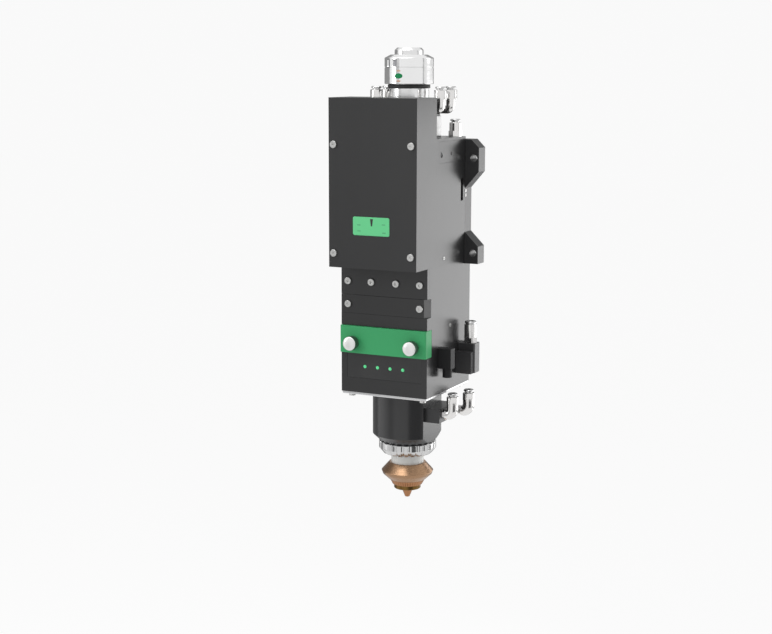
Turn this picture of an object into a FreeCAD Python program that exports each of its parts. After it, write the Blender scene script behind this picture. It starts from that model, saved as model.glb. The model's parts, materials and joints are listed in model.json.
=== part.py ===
"""A laser cutting head: housing, fibre receiver, lens drive, window drawers, sensor and nozzle.

The frame: +Z up along the beam, the front towards -Y, and the origin at the middle of the
four mounting holes, on the back face of the mounting plate. All sizes are millimetres.
"""
import FreeCAD, Part
import os

import Sketcher

Vector = FreeCAD.Vector
doc = FreeCAD.newDocument("laser_cutting_head")
sheet = doc.addObject("Spreadsheet::Sheet", "Sizes")
PLANES = {"top": "XY_Plane", "front": "XZ_Plane", "side": "YZ_Plane"}
parts = []


class Size:
    """A length with the sheet expression that gives it, so sums of sizes stay bound to cells."""

    def __init__(self, value, text):
        self.value = value
        self.text = text

    def __add__(self, other):
        other = as_size(other)
        return Size(self.value + other.value, f"({self.text} + {other.text})")

    def __sub__(self, other):
        other = as_size(other)
        return Size(self.value - other.value, f"({self.text} - {other.text})")

    def __rsub__(self, other):
        return as_size(other) - self

    def __mul__(self, other):
        other = as_size(other)
        return Size(self.value * other.value, f"({self.text} * {other.text})")

    def __truediv__(self, other):
        other = as_size(other)
        return Size(self.value / other.value, f"({self.text} / {other.text})")

    def __neg__(self):
        return Size(-self.value, f"(0 - {self.text})")

    __radd__ = __add__
    __rmul__ = __mul__


def as_size(value):
    """A plain number as a size of its own."""
    if isinstance(value, Size):
        return value
    return Size(float(value), repr(float(value)))


def cell(name, value):
    """A driving dimension: one named cell of the sheet."""
    row = len(sheet.getUsedCells()) // 2 + 1
    sheet.set(f"A{row}", name)
    sheet.set(f"B{row}", str(value))
    sheet.setAlias(f"B{row}", name)
    return Size(float(value), f"Sizes.{name}")


# The box and its place on the machine
body_width = cell("body_width", 84)
front_to_mount = cell("front_to_mount", 118)
axis_to_mount = cell("axis_to_mount", 45.2)
seam_below_mount = cell("seam_below_mount", 48.5)
flat_gap = cell("flat_gap", 0.1)

# The mounting plate
plate_thickness = cell("plate_thickness", 14.5)
plate_above_mount = cell("plate_above_mount", 59.8)
plate_below_mount = cell("plate_below_mount", 52.6)
hole_pitch_across = cell("hole_pitch_across", 100)
ear_margin = cell("ear_margin", 5)
hole_pitch_up = cell("hole_pitch_up", 86)
mount_hole = cell("mount_hole", 6.6)
ear_corner = cell("ear_corner", 7.5)
ear_slope = cell("ear_slope", 15)
upper_ear_edge = cell("upper_ear_edge", 21.4)
lower_ear_edge = cell("lower_ear_edge", 15.9)
plate_screw_spread = cell("plate_screw_spread", 27)
plate_screw_head = cell("plate_screw_head", 4.25)
plate_screw_sink = cell("plate_screw_sink", 5.4)
plate_screw_shank = cell("plate_screw_shank", 2.5)
plate_screw_reach = cell("plate_screw_reach", 6)

# The cover
cover_height = cell("cover_height", 146.5)
cover_depth = cell("cover_depth", 40.3)
cover_wall = cell("cover_wall", 3)
cover_front_wall = cell("cover_front_wall", 4)
cover_lip = cell("cover_lip", 2)
boss_width = cell("boss_width", 8.5)
boss_height = cell("boss_height", 11)
cover_screw_edge = cell("cover_screw_edge", 5)
cover_screw_top = cell("cover_screw_top", 40)
cover_screw_foot = cell("cover_screw_foot", 12.5)
scale_width = cell("scale_width", 35)
scale_height = cell("scale_height", 16)
scale_corner = cell("scale_corner", 1.6)
scale_left = cell("scale_left", 1)
scale_drop = cell("scale_drop", 101.4)
scale_thickness = cell("scale_thickness", 1.2)
scale_sink = cell("scale_sink", 1)

# Small screws, shared by the cover and the panels
screw_head = cell("screw_head", 3.1)
screw_head_height = cell("screw_head_height", 1.9)
screw_shank = cell("screw_shank", 1.5)
screw_socket = cell("screw_socket", 1.25)
screw_socket_depth = cell("screw_socket_depth", 1.2)
screw_reach = cell("screw_reach", 8)

# The main housing behind the cover
step_drop = cell("step_drop", 35.5)
housing_side_wall = cell("housing_side_wall", 9)
housing_back_wall = cell("housing_back_wall", 8)
housing_top_wall = cell("housing_top_wall", 12)
side_slot_width = cell("side_slot_width", 5)
side_slot_height = cell("side_slot_height", 20)
side_slot_drop = cell("side_slot_drop", 72.7)
side_slot_depth = cell("side_slot_depth", 3)
side_slot_back = cell("side_slot_back", 5)
side_panel_height = cell("side_panel_height", 18.6)
side_panel_end = cell("side_panel_end", 3.9)
side_panel_start = cell("side_panel_start", 5.3)
side_panel_drop = cell("side_panel_drop", 38.2)
side_panel_thickness = cell("side_panel_thickness", 1.5)
side_panel_hole = cell("side_panel_hole", 2)

# The fibre receiver on the optical axis
receiver_block_width = cell("receiver_block_width", 44)
receiver_block_height = cell("receiver_block_height", 18.2)
receiver_spigot = cell("receiver_spigot", 16)
base_tube = cell("base_tube", 17.8)
base_tube_top = cell("base_tube_top", 7.4)
journal = cell("journal", 17)
journal_top = cell("journal_top", 30)
cap_radius = cell("cap_radius", 12.9)
cap_top = cell("cap_top", 42.6)
cap_chamfer = cell("cap_chamfer", 2.2)
fibre_bore = cell("fibre_bore", 8)
fibre_lead_in = cell("fibre_lead_in", 1.5)
running_gap = cell("running_gap", 0.05)
seal_height = cell("seal_height", 3.3)
seal_radius = cell("seal_radius", 18.9)
collar_radius = cell("collar_radius", 21.8)
collar_start = cell("collar_start", 10.9)
collar_shoulder = cell("collar_shoulder", 33.8)
collar_top = cell("collar_top", 36.5)
collar_top_radius = cell("collar_top_radius", 16.4)
collar_ceiling = cell("collar_ceiling", 31)
collar_seam = cell("collar_seam", 25.5)
collar_groove = cell("collar_groove", 0.35)

# Cooling water manifold and the push-in fittings
manifold_width = cell("manifold_width", 42)
manifold_height = cell("manifold_height", 15.3)
elbow_rise = cell("elbow_rise", 5.8)
leg_radius = cell("leg_radius", 3.6)
leg_root = cell("leg_root", 3)
cap_width = cell("cap_width", 5.3)
cap_height = cell("cap_height", 8)
fitting_right = cell("fitting_right", 35.6)
fitting_left = cell("fitting_left", 26.7)
fitting_pitch = cell("fitting_pitch", 22)
fitting_height = cell("fitting_height", 17.5)
fitting_radius = cell("fitting_radius", 4.7)
purge_radius = cell("purge_radius", 5.5)
fitting_hex = cell("fitting_hex", 6.2)
fitting_hex_height = cell("fitting_hex_height", 5)
socket_radius = cell("socket_radius", 3.55)
socket_depth = cell("socket_depth", 9)
tube_radius = cell("tube_radius", 2.1)
release_travel = cell("release_travel", 1.2)
release_lip = cell("release_lip", 1.6)
release_lip_radius = cell("release_lip_radius", 4.6)
step_fitting_edge = cell("step_fitting_edge", 6.6)
step_fitting_back = cell("step_fitting_back", 8.5)
step_fitting_height = cell("step_fitting_height", 12.5)
gas_fitting_radius = cell("gas_fitting_radius", 5.6)
gas_fitting_height = cell("gas_fitting_height", 17)
gas_fitting_hex = cell("gas_fitting_hex", 6.4)
gas_socket_radius = cell("gas_socket_radius", 4.6)
gas_tube_radius = cell("gas_tube_radius", 3.1)

# The lens drive inside
cell_share = cell("cell_share", 0.5666)
cell_height = cell("cell_height", 12)
lens_radius = cell("lens_radius", 18)
lens_seat = cell("lens_seat", 1.6)
lens_thickness = cell("lens_thickness", 5)
lens_crown = cell("lens_crown", 1.2)
retainer_height = cell("retainer_height", 2.4)
lens_gap = cell("lens_gap", 0.05)
barrel_radius = cell("barrel_radius", 22.5)
barrel_share = cell("barrel_share", 0.744)
barrel_height = cell("barrel_height", 46)
rod_radius = cell("rod_radius", 3)
rod_from_wall = cell("rod_from_wall", 5)
rod_sink = cell("rod_sink", 6)
bush_radius = cell("bush_radius", 4.6)
tongue_width = cell("tongue_width", 15)
tongue_height = cell("tongue_height", 8)
focus_travel = cell("focus_travel", 12)
motor_width = cell("motor_width", 28.2)
motor_height = cell("motor_height", 31)
motor_corner = cell("motor_corner", 2.5)
motor_drop = cell("motor_drop", 12)
motor_from_front = cell("motor_from_front", 21)
motor_boss = cell("motor_boss", 11)
motor_boss_height = cell("motor_boss_height", 2)
bracket_thickness = cell("bracket_thickness", 4)
bracket_width = cell("bracket_width", 32)
bracket_top = cell("bracket_top", 36.5)
screw_radius = cell("screw_radius", 3)
screw_journal = cell("screw_journal", 2)
nut_radius = cell("nut_radius", 5)
nut_flange = cell("nut_flange", 7)
nut_flange_height = cell("nut_flange_height", 3)
bearing_radius = cell("bearing_radius", 5)
bearing_height = cell("bearing_height", 4)
foot_width = cell("foot_width", 24)
foot_arm = cell("foot_arm", 10)
foot_height = cell("foot_height", 16.5)
foot_length = cell("foot_length", 12)

# The lower housing, its panels and drawers
lower_setback = cell("lower_setback", 22.9)
lower_back_gap = cell("lower_back_gap", 1.8)
upper_panel_height = cell("upper_panel_height", 26.8)
upper_panel_thickness = cell("upper_panel_thickness", 4)
panel_screw_drop = cell("panel_screw_drop", 14.5)
panel_screw_edge = cell("panel_screw_edge", 7)
panel_screw_inner = cell("panel_screw_inner", 12)
cavity_below = cell("cavity_below", 23.5)
upper_drawer_height = cell("upper_drawer_height", 16.7)
upper_drawer_front = cell("upper_drawer_front", 8)
upper_drawer_notch = cell("upper_drawer_notch", 3.2)
divider_height = cell("divider_height", 10.8)
drawer_height = cell("drawer_height", 24.8)
drawer_proud = cell("drawer_proud", 2.9)
drawer_front_depth = cell("drawer_front_depth", 12.6)
drawer_round = cell("drawer_round", 1.2)
tray_half_width = cell("tray_half_width", 24)
tray_length = cell("tray_length", 66)
upper_tray_height = cell("upper_tray_height", 11)
lower_tray_height = cell("lower_tray_height", 15)
slide_gap = cell("slide_gap", 0.2)
window_radius = cell("window_radius", 18.5)
window_thickness = cell("window_thickness", 3)
window_ledge = cell("window_ledge", 2)
beam_radius = cell("beam_radius", 15)
knob_radius = cell("knob_radius", 6.25)
knob_length = cell("knob_length", 8.5)
knob_edge = cell("knob_edge", 12.7)
knob_below_middle = cell("knob_below_middle", 2.8)
knob_shank = cell("knob_shank", 2)
knob_reach = cell("knob_reach", 5)
lamp_panel_height = cell("lamp_panel_height", 22)
lamp_panel_width = cell("lamp_panel_width", 72.4)
lamp_panel_thickness = cell("lamp_panel_thickness", 1.8)
lamp_panel_sink = cell("lamp_panel_sink", 2)
lamp_radius = cell("lamp_radius", 1.5)
lamp_pitch = cell("lamp_pitch", 12.4)
lamp_drop = cell("lamp_drop", 11.4)
lamp_proud = cell("lamp_proud", 0.5)
lower_foot = cell("lower_foot", 13.2)
base_plate_thickness = cell("base_plate_thickness", 2.4)
base_plate_inset = cell("base_plate_inset", 0.6)
base_screw_head = cell("base_screw_head", 2.9)
base_screw_height = cell("base_screw_height", 2.4)

# The sensor, ceramic and nozzle
sensor_radius = cell("sensor_radius", 32)
sensor_height = cell("sensor_height", 42.2)
sensor_cone = cell("sensor_cone", 7)
sensor_cone_radius = cell("sensor_cone_radius", 24.6)
sensor_flat = cell("sensor_flat", 25)
sensor_thread = cell("sensor_thread", 20)
sensor_thread_height = cell("sensor_thread_height", 4)
port_length = cell("port_length", 36)
port_shy = cell("port_shy", 3)
port_height = cell("port_height", 13)
port_drop = cell("port_drop", 14)
port_front = cell("port_front", 15.8)
elbow_front_back = cell("elbow_front_back", 7.2)
elbow_pitch = cell("elbow_pitch", 22)
elbow_front_reach = cell("elbow_front_reach", 9.7)
elbow_rear_reach = cell("elbow_rear_reach", 15.9)
elbow_radius = cell("elbow_radius", 5.2)
elbow_height = cell("elbow_height", 17)
elbow_hex = cell("elbow_hex", 4.4)
elbow_hex_height = cell("elbow_hex_height", 3)
elbow_stem = cell("elbow_stem", 2.2)
ring_height = cell("ring_height", 11.2)
ring_radius = cell("ring_radius", 26.3)
ring_low_radius = cell("ring_low_radius", 22.5)
ring_flutes = cell("ring_flutes", 24)
flute_width = cell("flute_width", 2)
flute_depth = cell("flute_depth", 0.8)
ceramic_flange = cell("ceramic_flange", 18.5)
ceramic_flange_height = cell("ceramic_flange_height", 2)
ceramic_radius = cell("ceramic_radius", 14.9)
ceramic_show = cell("ceramic_show", 9.3)
ceramic_sink = cell("ceramic_sink", 2.5)
ceramic_bore = cell("ceramic_bore", 9)
holder_top_radius = cell("holder_top_radius", 16.8)
holder_radius = cell("holder_radius", 23.8)
holder_upper_cone = cell("holder_upper_cone", 7.8)
holder_rim = cell("holder_rim", 3)
holder_rim_radius = cell("holder_rim_radius", 22.6)
holder_lower_cone = cell("holder_lower_cone", 5.2)
holder_low_radius = cell("holder_low_radius", 16.9)
nozzle_radius = cell("nozzle_radius", 16.2)
nozzle_low_radius = cell("nozzle_low_radius", 13.6)
nozzle_grip = cell("nozzle_grip", 4.9)
nozzle_step_radius = cell("nozzle_step_radius", 12.3)
nozzle_step_height = cell("nozzle_step_height", 4)
nozzle_cone_radius = cell("nozzle_cone_radius", 5.6)
nozzle_cone_height = cell("nozzle_cone_height", 8.7)
nozzle_tip_radius = cell("nozzle_tip_radius", 1.9)
nozzle_thread = cell("nozzle_thread", 7)
nozzle_thread_height = cell("nozzle_thread_height", 8)
orifice = cell("orifice", 1.25)
nozzle_flutes = cell("nozzle_flutes", 20)

# Blocks on the right side of the lower housing
signal_block_back = cell("signal_block_back", 24.1)
signal_block_length = cell("signal_block_length", 9)
signal_block_reach = cell("signal_block_reach", 12)
signal_block_height = cell("signal_block_height", 18)
signal_block_drop = cell("signal_block_drop", 73.5)
signal_plug_radius = cell("signal_plug_radius", 4.2)
signal_plug_height = cell("signal_plug_height", 8)
gas_block_reach = cell("gas_block_reach", 16)
gas_block_round = cell("gas_block_round", 1.5)
gas_block_length = cell("gas_block_length", 12.5)
gas_block_end = cell("gas_block_end", 14)
gas_block_height = cell("gas_block_height", 27)
gas_block_drop = cell("gas_block_drop", 75.5)
gas_bridge_length = cell("gas_bridge_length", 6)
gas_bridge_reach = cell("gas_bridge_reach", 15)
gas_bridge_height = cell("gas_bridge_height", 20)

# Places worked out from the sizes: x across, y from the back, z from the mounting holes
side = body_width / 2
front = -front_to_mount
axis = -axis_to_mount
seam = -seam_below_mount
top = seam + cover_height
step = top - step_drop
cover_back = front + cover_depth
plate_front = -plate_thickness
lower_front = front + lower_setback
panel_bottom = seam - upper_panel_height
drawer_line = panel_bottom - upper_drawer_height
drawer_top = drawer_line - divider_height
drawer_bottom = drawer_top - drawer_height
lower_bottom = drawer_bottom - lamp_panel_height - lower_foot - flat_gap * 6
base_bottom = lower_bottom - base_plate_thickness
cone_top = base_bottom - sensor_height
ring_top = cone_top - sensor_cone
ring_bottom = ring_top - ring_height
clamp_line = ring_top - sensor_thread_height - ceramic_flange_height
holder_top = ring_bottom - ceramic_show
holder_bottom = holder_top - holder_upper_cone - holder_rim - holder_lower_cone
drive_y = front + motor_from_front
cell_top = top - cover_height * cell_share
port_reach = side - port_shy - sensor_flat
knob_spread = side - knob_edge
step_fitting_across = side - step_fitting_edge
side_panel_length = plate_front - side_panel_end - cover_back - side_panel_start
rod_spread = side - housing_side_wall - rod_from_wall
barrel_top = top - cover_height * barrel_share
barrel_bottom = barrel_top - barrel_height


def new_body(name):
    """An empty body whose label is the name of its file."""
    body = doc.addObject("PartDesign::Body", name)
    body.Label = name
    parts.append(body)
    return body


def new_sketch(body, view, at=(0, 0, 0)):
    """A sketch seen from the top, the front or the side, with its own origin at the point at."""
    role = PLANES[view]
    plane = [item for item in body.Origin.OriginFeatures if item.Role == role][0]
    sketch = body.newObject("Sketcher::SketchObject", body.Name + "_sketch")
    sketch.AttachmentSupport = [(plane, "")]
    sketch.MapMode = "FlatFace"
    x, y, z = (as_size(value) for value in at)
    local = {"top": (x, y, z), "front": (x, z, -y), "side": (y, z, x)}[view]
    for letter, value in zip("xyz", local):
        sketch.setExpression("AttachmentOffset.Base." + letter, value.text)
    return sketch


def pin(sketch, shape, point, across, up):
    """Hold one point of a sketch at a distance across and up from its origin."""
    for kind, value in (("DistanceX", across), ("DistanceY", up)):
        index = sketch.addConstraint(Sketcher.Constraint(kind, -1, 1, shape, point, value.value))
        sketch.setExpression(f"Constraints[{index}]", value.text)


def outline(sketch, corners):
    """A closed run of straight lines through the corners."""
    corners = [(as_size(a), as_size(b)) for a, b in corners]
    ends = corners[1:] + corners[:1]
    first = sketch.GeometryCount
    for (a, b), (c, d) in zip(corners, ends):
        line = Part.LineSegment(Vector(a.value, b.value, 0), Vector(c.value, d.value, 0))
        sketch.addGeometry(line)
    for i, (a, b) in enumerate(corners):
        follower = first + (i + 1) % len(corners)
        sketch.addConstraint(Sketcher.Constraint("Coincident", first + i, 2, follower, 1))
        pin(sketch, first + i, 1, a, b)


def rectangle(sketch, left, right, low, high):
    """A rectangle between two upright and two level lines."""
    outline(sketch, [(left, low), (right, low), (right, high), (left, high)])


def circle(sketch, across, up, radius):
    """A circle about one point."""
    across, up, radius = as_size(across), as_size(up), as_size(radius)
    centre = Vector(across.value, up.value, 0)
    index = sketch.addGeometry(Part.Circle(centre, Vector(0, 0, 1), radius.value))
    rule = sketch.addConstraint(Sketcher.Constraint("Radius", index, radius.value))
    sketch.setExpression(f"Constraints[{rule}]", radius.text)
    pin(sketch, index, 3, across, up)


def pad(body, sketch, length):
    """Material raised from a sketch: forwards from a front one, up from a top one."""
    feature = body.newObject("PartDesign::Pad", body.Name + "_pad")
    feature.Profile = sketch
    feature.setExpression("Length", as_size(length).text)
    return feature


def cut(body, sketch, length):
    """Material taken away on the side of the sketch that a pad would fill."""
    feature = body.newObject("PartDesign::Pocket", body.Name + "_cut")
    feature.Profile = sketch
    feature.Reversed = True
    feature.setExpression("Length", as_size(length).text)
    return feature


def turn(body, view, at, line, profile, hollow=False):
    """A turned form, or a turned groove, about the level or upright line of its sketch."""
    sketch = new_sketch(body, view, at)
    outline(sketch, profile)
    kind = "PartDesign::Groove" if hollow else "PartDesign::Revolution"
    feature = body.newObject(kind, body.Name + "_turn")
    feature.Profile = sketch
    feature.ReferenceAxis = (sketch, [line])
    feature.Angle = 360
    return feature


def turned(name, profile):
    """A body turned about the optical axis from points (radius, height)."""
    body = new_body(name)
    turn(body, "side", (0, axis, 0), "V_Axis", profile)
    return body


def box_cut(body, left, right, near, far, low, high):
    """A rectangular space between two x, two y and two z values."""
    sketch = new_sketch(body, "top", (0, 0, low))
    rectangle(sketch, left, right, near, far)
    return cut(body, sketch, as_size(high) - low)


def box_pad(body, left, right, near, far, low, high):
    """A rectangular block between two x, two y and two z values."""
    sketch = new_sketch(body, "top", (0, 0, low))
    rectangle(sketch, left, right, near, far)
    return pad(body, sketch, as_size(high) - low)


def bore(body, x, y, radius, low, high):
    """An upright round hole."""
    sketch = new_sketch(body, "top", (0, 0, low))
    circle(sketch, x, y, radius)
    return cut(body, sketch, as_size(high) - low)


def front_holes(body, places, radius, start, depth):
    """Round holes into the front, from the plane y = start, each at an (x, z) place."""
    sketch = new_sketch(body, "front", (0, as_size(start) + depth, 0))
    for x, z in places:
        circle(sketch, x, z, radius)
    return cut(body, sketch, depth)


def pattern(body, feature, line, count):
    """A feature repeated round an axis."""
    polar = body.newObject("PartDesign::PolarPattern", body.Name + "_pattern")
    polar.Originals = [feature]
    polar.Axis = line
    polar.Angle = 360
    polar.setExpression("Occurrences", count.text)
    body.Tip = polar
    return polar


def chamfer(body, feature, size, pick):
    """A chamfer on the edges of the last feature that pick chooses by their middle."""
    return dress(body, feature, size, pick, "PartDesign::Chamfer", "Size")


def fillet(body, feature, size, pick):
    """A rounding on the edges of the last feature that pick chooses by their middle."""
    return dress(body, feature, size, pick, "PartDesign::Fillet", "Radius")


def dress(body, feature, size, pick, kind, name):
    """A chamfer or rounding on chosen edges."""
    doc.recompute()
    chosen = []
    for index, edge in enumerate(feature.Shape.Edges, 1):
        box = edge.BoundBox
        if pick(box.Center, box):
            chosen.append(f"Edge{index}")
    if not chosen:
        raise SystemExit(f"{body.Name}: no edge was found to dress")
    dressed = body.newObject(kind, body.Name + "_edge")
    dressed.Base = (feature, chosen)
    dressed.setExpression(name, as_size(size).text)
    return dressed


def place(item, point, rotation=None):
    """Bind an object's place to sizes."""
    if rotation:
        item.Placement = FreeCAD.Placement(Vector(0, 0, 0), rotation)
    for letter, value in zip("xyz", point):
        item.setExpression("Placement.Base." + letter, as_size(value).text)


TURNS = {"front": FreeCAD.Rotation(Vector(1, 0, 0), 90), "back": FreeCAD.Rotation(Vector(1, 0, 0), -90),
         "up": FreeCAD.Rotation(), "down": FreeCAD.Rotation(Vector(1, 0, 0), 180)}


def cylinder(name, radius, length):
    """A plain cylinder bound to its sizes."""
    item = doc.addObject("Part::Cylinder", name)
    item.setExpression("Radius", as_size(radius).text)
    item.setExpression("Height", as_size(length).text)
    return item


def screw(name, point, facing, head, head_height, shank, reach, socket, depth):
    """A screw whose head sits on the point and looks to one side, with a hexagon socket."""
    away = {"front": (0, -1, 0), "back": (0, 1, 0), "up": (0, 0, 1), "down": (0, 0, -1)}[facing]
    cap = cylinder(name + "_head", head, head_height)
    place(cap, point, TURNS[facing])
    stem = cylinder(name + "_shank", shank, reach)
    start = [as_size(value) - as_size(reach) * step_ for value, step_ in zip(point, away)]
    place(stem, start, TURNS[facing])
    whole = doc.addObject("Part::Fuse", name + "_whole")
    whole.Base = cap
    whole.Tool = stem
    key = doc.addObject("Part::Prism", name + "_key")
    key.Polygon = 6
    key.setExpression("Circumradius", as_size(socket).text)
    key.setExpression("Height", as_size(depth).text)
    rise = as_size(head_height) - depth
    place(key, [as_size(value) + rise * step_ for value, step_ in zip(point, away)], TURNS[facing])
    finished = doc.addObject("Part::Cut", name)
    finished.Base = whole
    finished.Tool = key
    return finished


def group(name, members):
    """Several like solids that share one file."""
    compound = doc.addObject("Part::Compound", name)
    compound.Label = name
    compound.Links = members
    parts.append(compound)
    return compound


def small_screws(name, places, reach):
    """Panel screws in the front, each with its head on an (x, y, z) place."""
    made = [screw(f"{name}_{i}", place_, "front", screw_head, screw_head_height, screw_shank, reach,
                  screw_socket, screw_socket_depth) for i, place_ in enumerate(places, 1)]
    return group(name, made)


def mounting_plate():
    """The waisted plate with four ears, screwed to the back of the main housing."""
    body = new_body("mounting_plate")
    reach = hole_pitch_across / 2 + ear_margin
    high = plate_above_mount
    low = -plate_below_mount
    upper = high - ear_corner
    half = [(reach - ear_corner, high), (reach, upper), (reach, upper - upper_ear_edge),
            (side, upper - upper_ear_edge - ear_slope),
            (side, low + lower_ear_edge + (reach - side)), (reach, low + lower_ear_edge), (reach, low)]
    mirrored = [(-x, z) for x, z in reversed(half)]
    sketch = new_sketch(body, "front", (0, 0, 0))
    outline(sketch, half + mirrored)
    pad(body, sketch, plate_thickness)
    holes = new_sketch(body, "front", (0, 0, 0))
    for across in (-1, 1):
        for up in (-1, 1):
            circle(holes, hole_pitch_across / 2 * across, hole_pitch_up / 2 * up, mount_hole / 2)
    cut(body, holes, plate_thickness)
    sunk = new_sketch(body, "front", (0, 0, 0))
    through = new_sketch(body, "front", (0, 0, 0))
    for x, z in plate_screw_places():
        circle(sunk, x, z, plate_screw_head + flat_gap)
        circle(through, x, z, plate_screw_shank + flat_gap)
    cut(body, sunk, plate_screw_sink)
    cut(body, through, plate_thickness)


def plate_screw_places():
    """Four places on the back, in two columns between the ears."""
    rows = (hole_pitch_up / 2, -hole_pitch_up / 2)
    return [(plate_screw_spread * sign, z) for sign in (-1, 1) for z in rows]


def plate_screws():
    """Cap screws sunk in the back of the plate."""
    made = []
    for i, (x, z) in enumerate(plate_screw_places(), 1):
        head_height = plate_screw_sink - flat_gap * 4
        reach = plate_thickness - plate_screw_sink + plate_screw_reach
        made.append(screw(f"plate_screw_{i}", (x, -plate_screw_sink, z), "back", plate_screw_head,
                          head_height, plate_screw_shank, reach, plate_screw_head / 2, head_height / 2))
    group("plate_screws", made)


def main_housing():
    """The channel that holds the optics: open to the cover in front and to the lower housing."""
    body = new_body("main_housing")
    inner = side - housing_side_wall
    back = plate_front - housing_back_wall
    sketch = new_sketch(body, "top", (0, 0, seam))
    outline(sketch, [(-side, cover_back), (-inner, cover_back), (-inner, back), (inner, back),
                     (inner, cover_back), (side, cover_back), (side, plate_front), (-side, plate_front)])
    pad(body, sketch, step - housing_top_wall - seam)
    box_pad(body, -side, side, cover_back, plate_front, step - housing_top_wall, step)
    bore(body, 0, axis, receiver_spigot + flat_gap, step - housing_top_wall, step)
    slot_far = plate_front - side_slot_back
    slot_top = top - side_slot_drop
    box_cut(body, side - side_slot_depth, side, slot_far - side_slot_width, slot_far,
            slot_top - side_slot_height, slot_top)
    panel_top = top - side_panel_drop
    panel_near = cover_back + side_panel_start
    box_cut(body, side - side_panel_thickness, side, panel_near - flat_gap,
            panel_near + side_panel_length + flat_gap, panel_top - side_panel_height - flat_gap,
            panel_top + flat_gap)
    bore(body, step_fitting_across, plate_front - step_fitting_back, elbow_stem + flat_gap,
         step - fitting_hex_height, step)
    screws = new_sketch(body, "front", (0, plate_front, 0))
    for x, z in plate_screw_places():
        circle(screws, x, z, plate_screw_shank + flat_gap)
    cut(body, screws, plate_screw_reach + flat_gap)
    front_holes(body, cover_screw_places(), screw_shank + flat_gap, cover_back, screw_reach + flat_gap)


def side_panel():
    """The flush access panel on the right side, with its round key hole."""
    body = new_body("side_panel")
    panel_top = top - side_panel_drop
    near = cover_back + side_panel_start
    plate = box_pad(body, side - side_panel_thickness, side, near, near + side_panel_length,
                    panel_top - side_panel_height, panel_top)
    holes = new_sketch(body, "side", (side - side_panel_thickness, 0, 0))
    circle(holes, near + side_panel_hole * 2.7, panel_top - side_panel_height * 0.64, side_panel_hole)
    circle(holes, near + side_panel_length * 0.48, panel_top - side_panel_height * 0.64,
           side_panel_hole * 0.4)
    cut(body, holes, side_panel_thickness)
    return plate


def cover_screw_places():
    """Four places on the front, as (x, z)."""
    across = side - cover_screw_edge
    rows = (top - cover_screw_top, seam + cover_screw_foot)
    return [(across * sign, z) for sign in (-1, 1) for z in rows]


def front_cover():
    """The deep front cover: a five-sided shell with four screw bosses and an open back."""
    body = new_body("front_cover")
    sketch = new_sketch(body, "top", (0, 0, seam))
    rectangle(sketch, -side, side, front, cover_back)
    pad(body, sketch, cover_height)
    inner = side - cover_wall
    low = seam + cover_wall
    box_cut(body, -inner, inner, front + cover_front_wall, cover_back - cover_wall, low, top - cover_wall)
    box_cut(body, -inner, inner, cover_back - cover_wall, cover_back, seam, step)
    box_cut(body, -inner, inner, lower_front + cover_lip, cover_back, seam, low)
    for sign in (-1, 1):
        for middle in (top - cover_screw_top, seam + cover_screw_foot):
            edges = sorted((inner * sign, (side - boss_width) * sign), key=lambda value: value.value)
            box_pad(body, edges[0], edges[1], front + cover_front_wall, cover_back,
                    middle - boss_height / 2, middle + boss_height / 2)
    front_holes(body, cover_screw_places(), screw_shank + flat_gap, front, cover_depth)
    recess = new_sketch(body, "front", (0, front + scale_sink, 0))
    high = top - scale_drop
    rectangle(recess, -scale_width / 2 - scale_left - flat_gap, scale_width / 2 - scale_left + flat_gap,
              high - scale_height - flat_gap, high + flat_gap)
    last = cut(body, recess, scale_sink)
    edge_y = (front + scale_sink / 2).value
    limit = (side / 2).value
    last = fillet(body, last, scale_corner, lambda middle, box: box.YLength > 0.1 and box.XLength < 0.01
                  and box.ZLength < 0.01 and abs(middle.y - edge_y) < 0.01 and abs(middle.x) < limit)
    return last


def cover_screws():
    """Four long screws that hold the cover to the main housing."""
    places = [(x, front, z) for x, z in cover_screw_places()]
    small_screws("cover_screws", places, cover_depth + screw_reach)


def scale_plate():
    """The small rounded scale plate set into the cover."""
    body = new_body("scale_plate")
    sketch = new_sketch(body, "front", (0, front + scale_sink, 0))
    high = top - scale_drop
    rectangle(sketch, -scale_width / 2 - scale_left, scale_width / 2 - scale_left, high - scale_height, high)
    base = pad(body, sketch, scale_thickness)
    fillet(body, base, scale_corner, lambda middle, box: box.YLength > 0.1 and box.XLength < 0.01
           and box.ZLength < 0.01)


def fibre_receiver():
    """The block and tube that take the fibre connector, with a spigot through the top wall."""
    body = new_body("fibre_receiver")
    half = receiver_block_width / 2
    box_pad(body, -half, half, axis - half, axis + half, step, step + receiver_block_height)
    turn(body, "side", (0, axis, 0), "V_Axis",
         [(0, step - housing_top_wall), (receiver_spigot, step - housing_top_wall), (receiver_spigot, step),
          (base_tube, step), (base_tube, top + base_tube_top), (journal, top + base_tube_top),
          (journal, top + journal_top), (cap_radius, top + journal_top),
          (cap_radius, top + cap_top - cap_chamfer), (cap_radius - cap_chamfer, top + cap_top),
          (0, top + cap_top)])
    turn(body, "side", (0, axis, 0), "V_Axis",
         [(0, step - housing_top_wall), (fibre_bore, step - housing_top_wall),
          (fibre_bore, top + cap_top - fibre_lead_in), (fibre_bore + fibre_lead_in, top + cap_top),
          (0, top + cap_top)], hollow=True)


def receiver_seal():
    """The black ring between the base tube and the collar."""
    foot = top + base_tube_top
    turned("receiver_seal", [(journal, foot), (seal_radius, foot), (seal_radius, foot + seal_height * 0.8),
                             (seal_radius - seal_height * 0.2, foot + seal_height),
                             (journal, foot + seal_height)])


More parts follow.
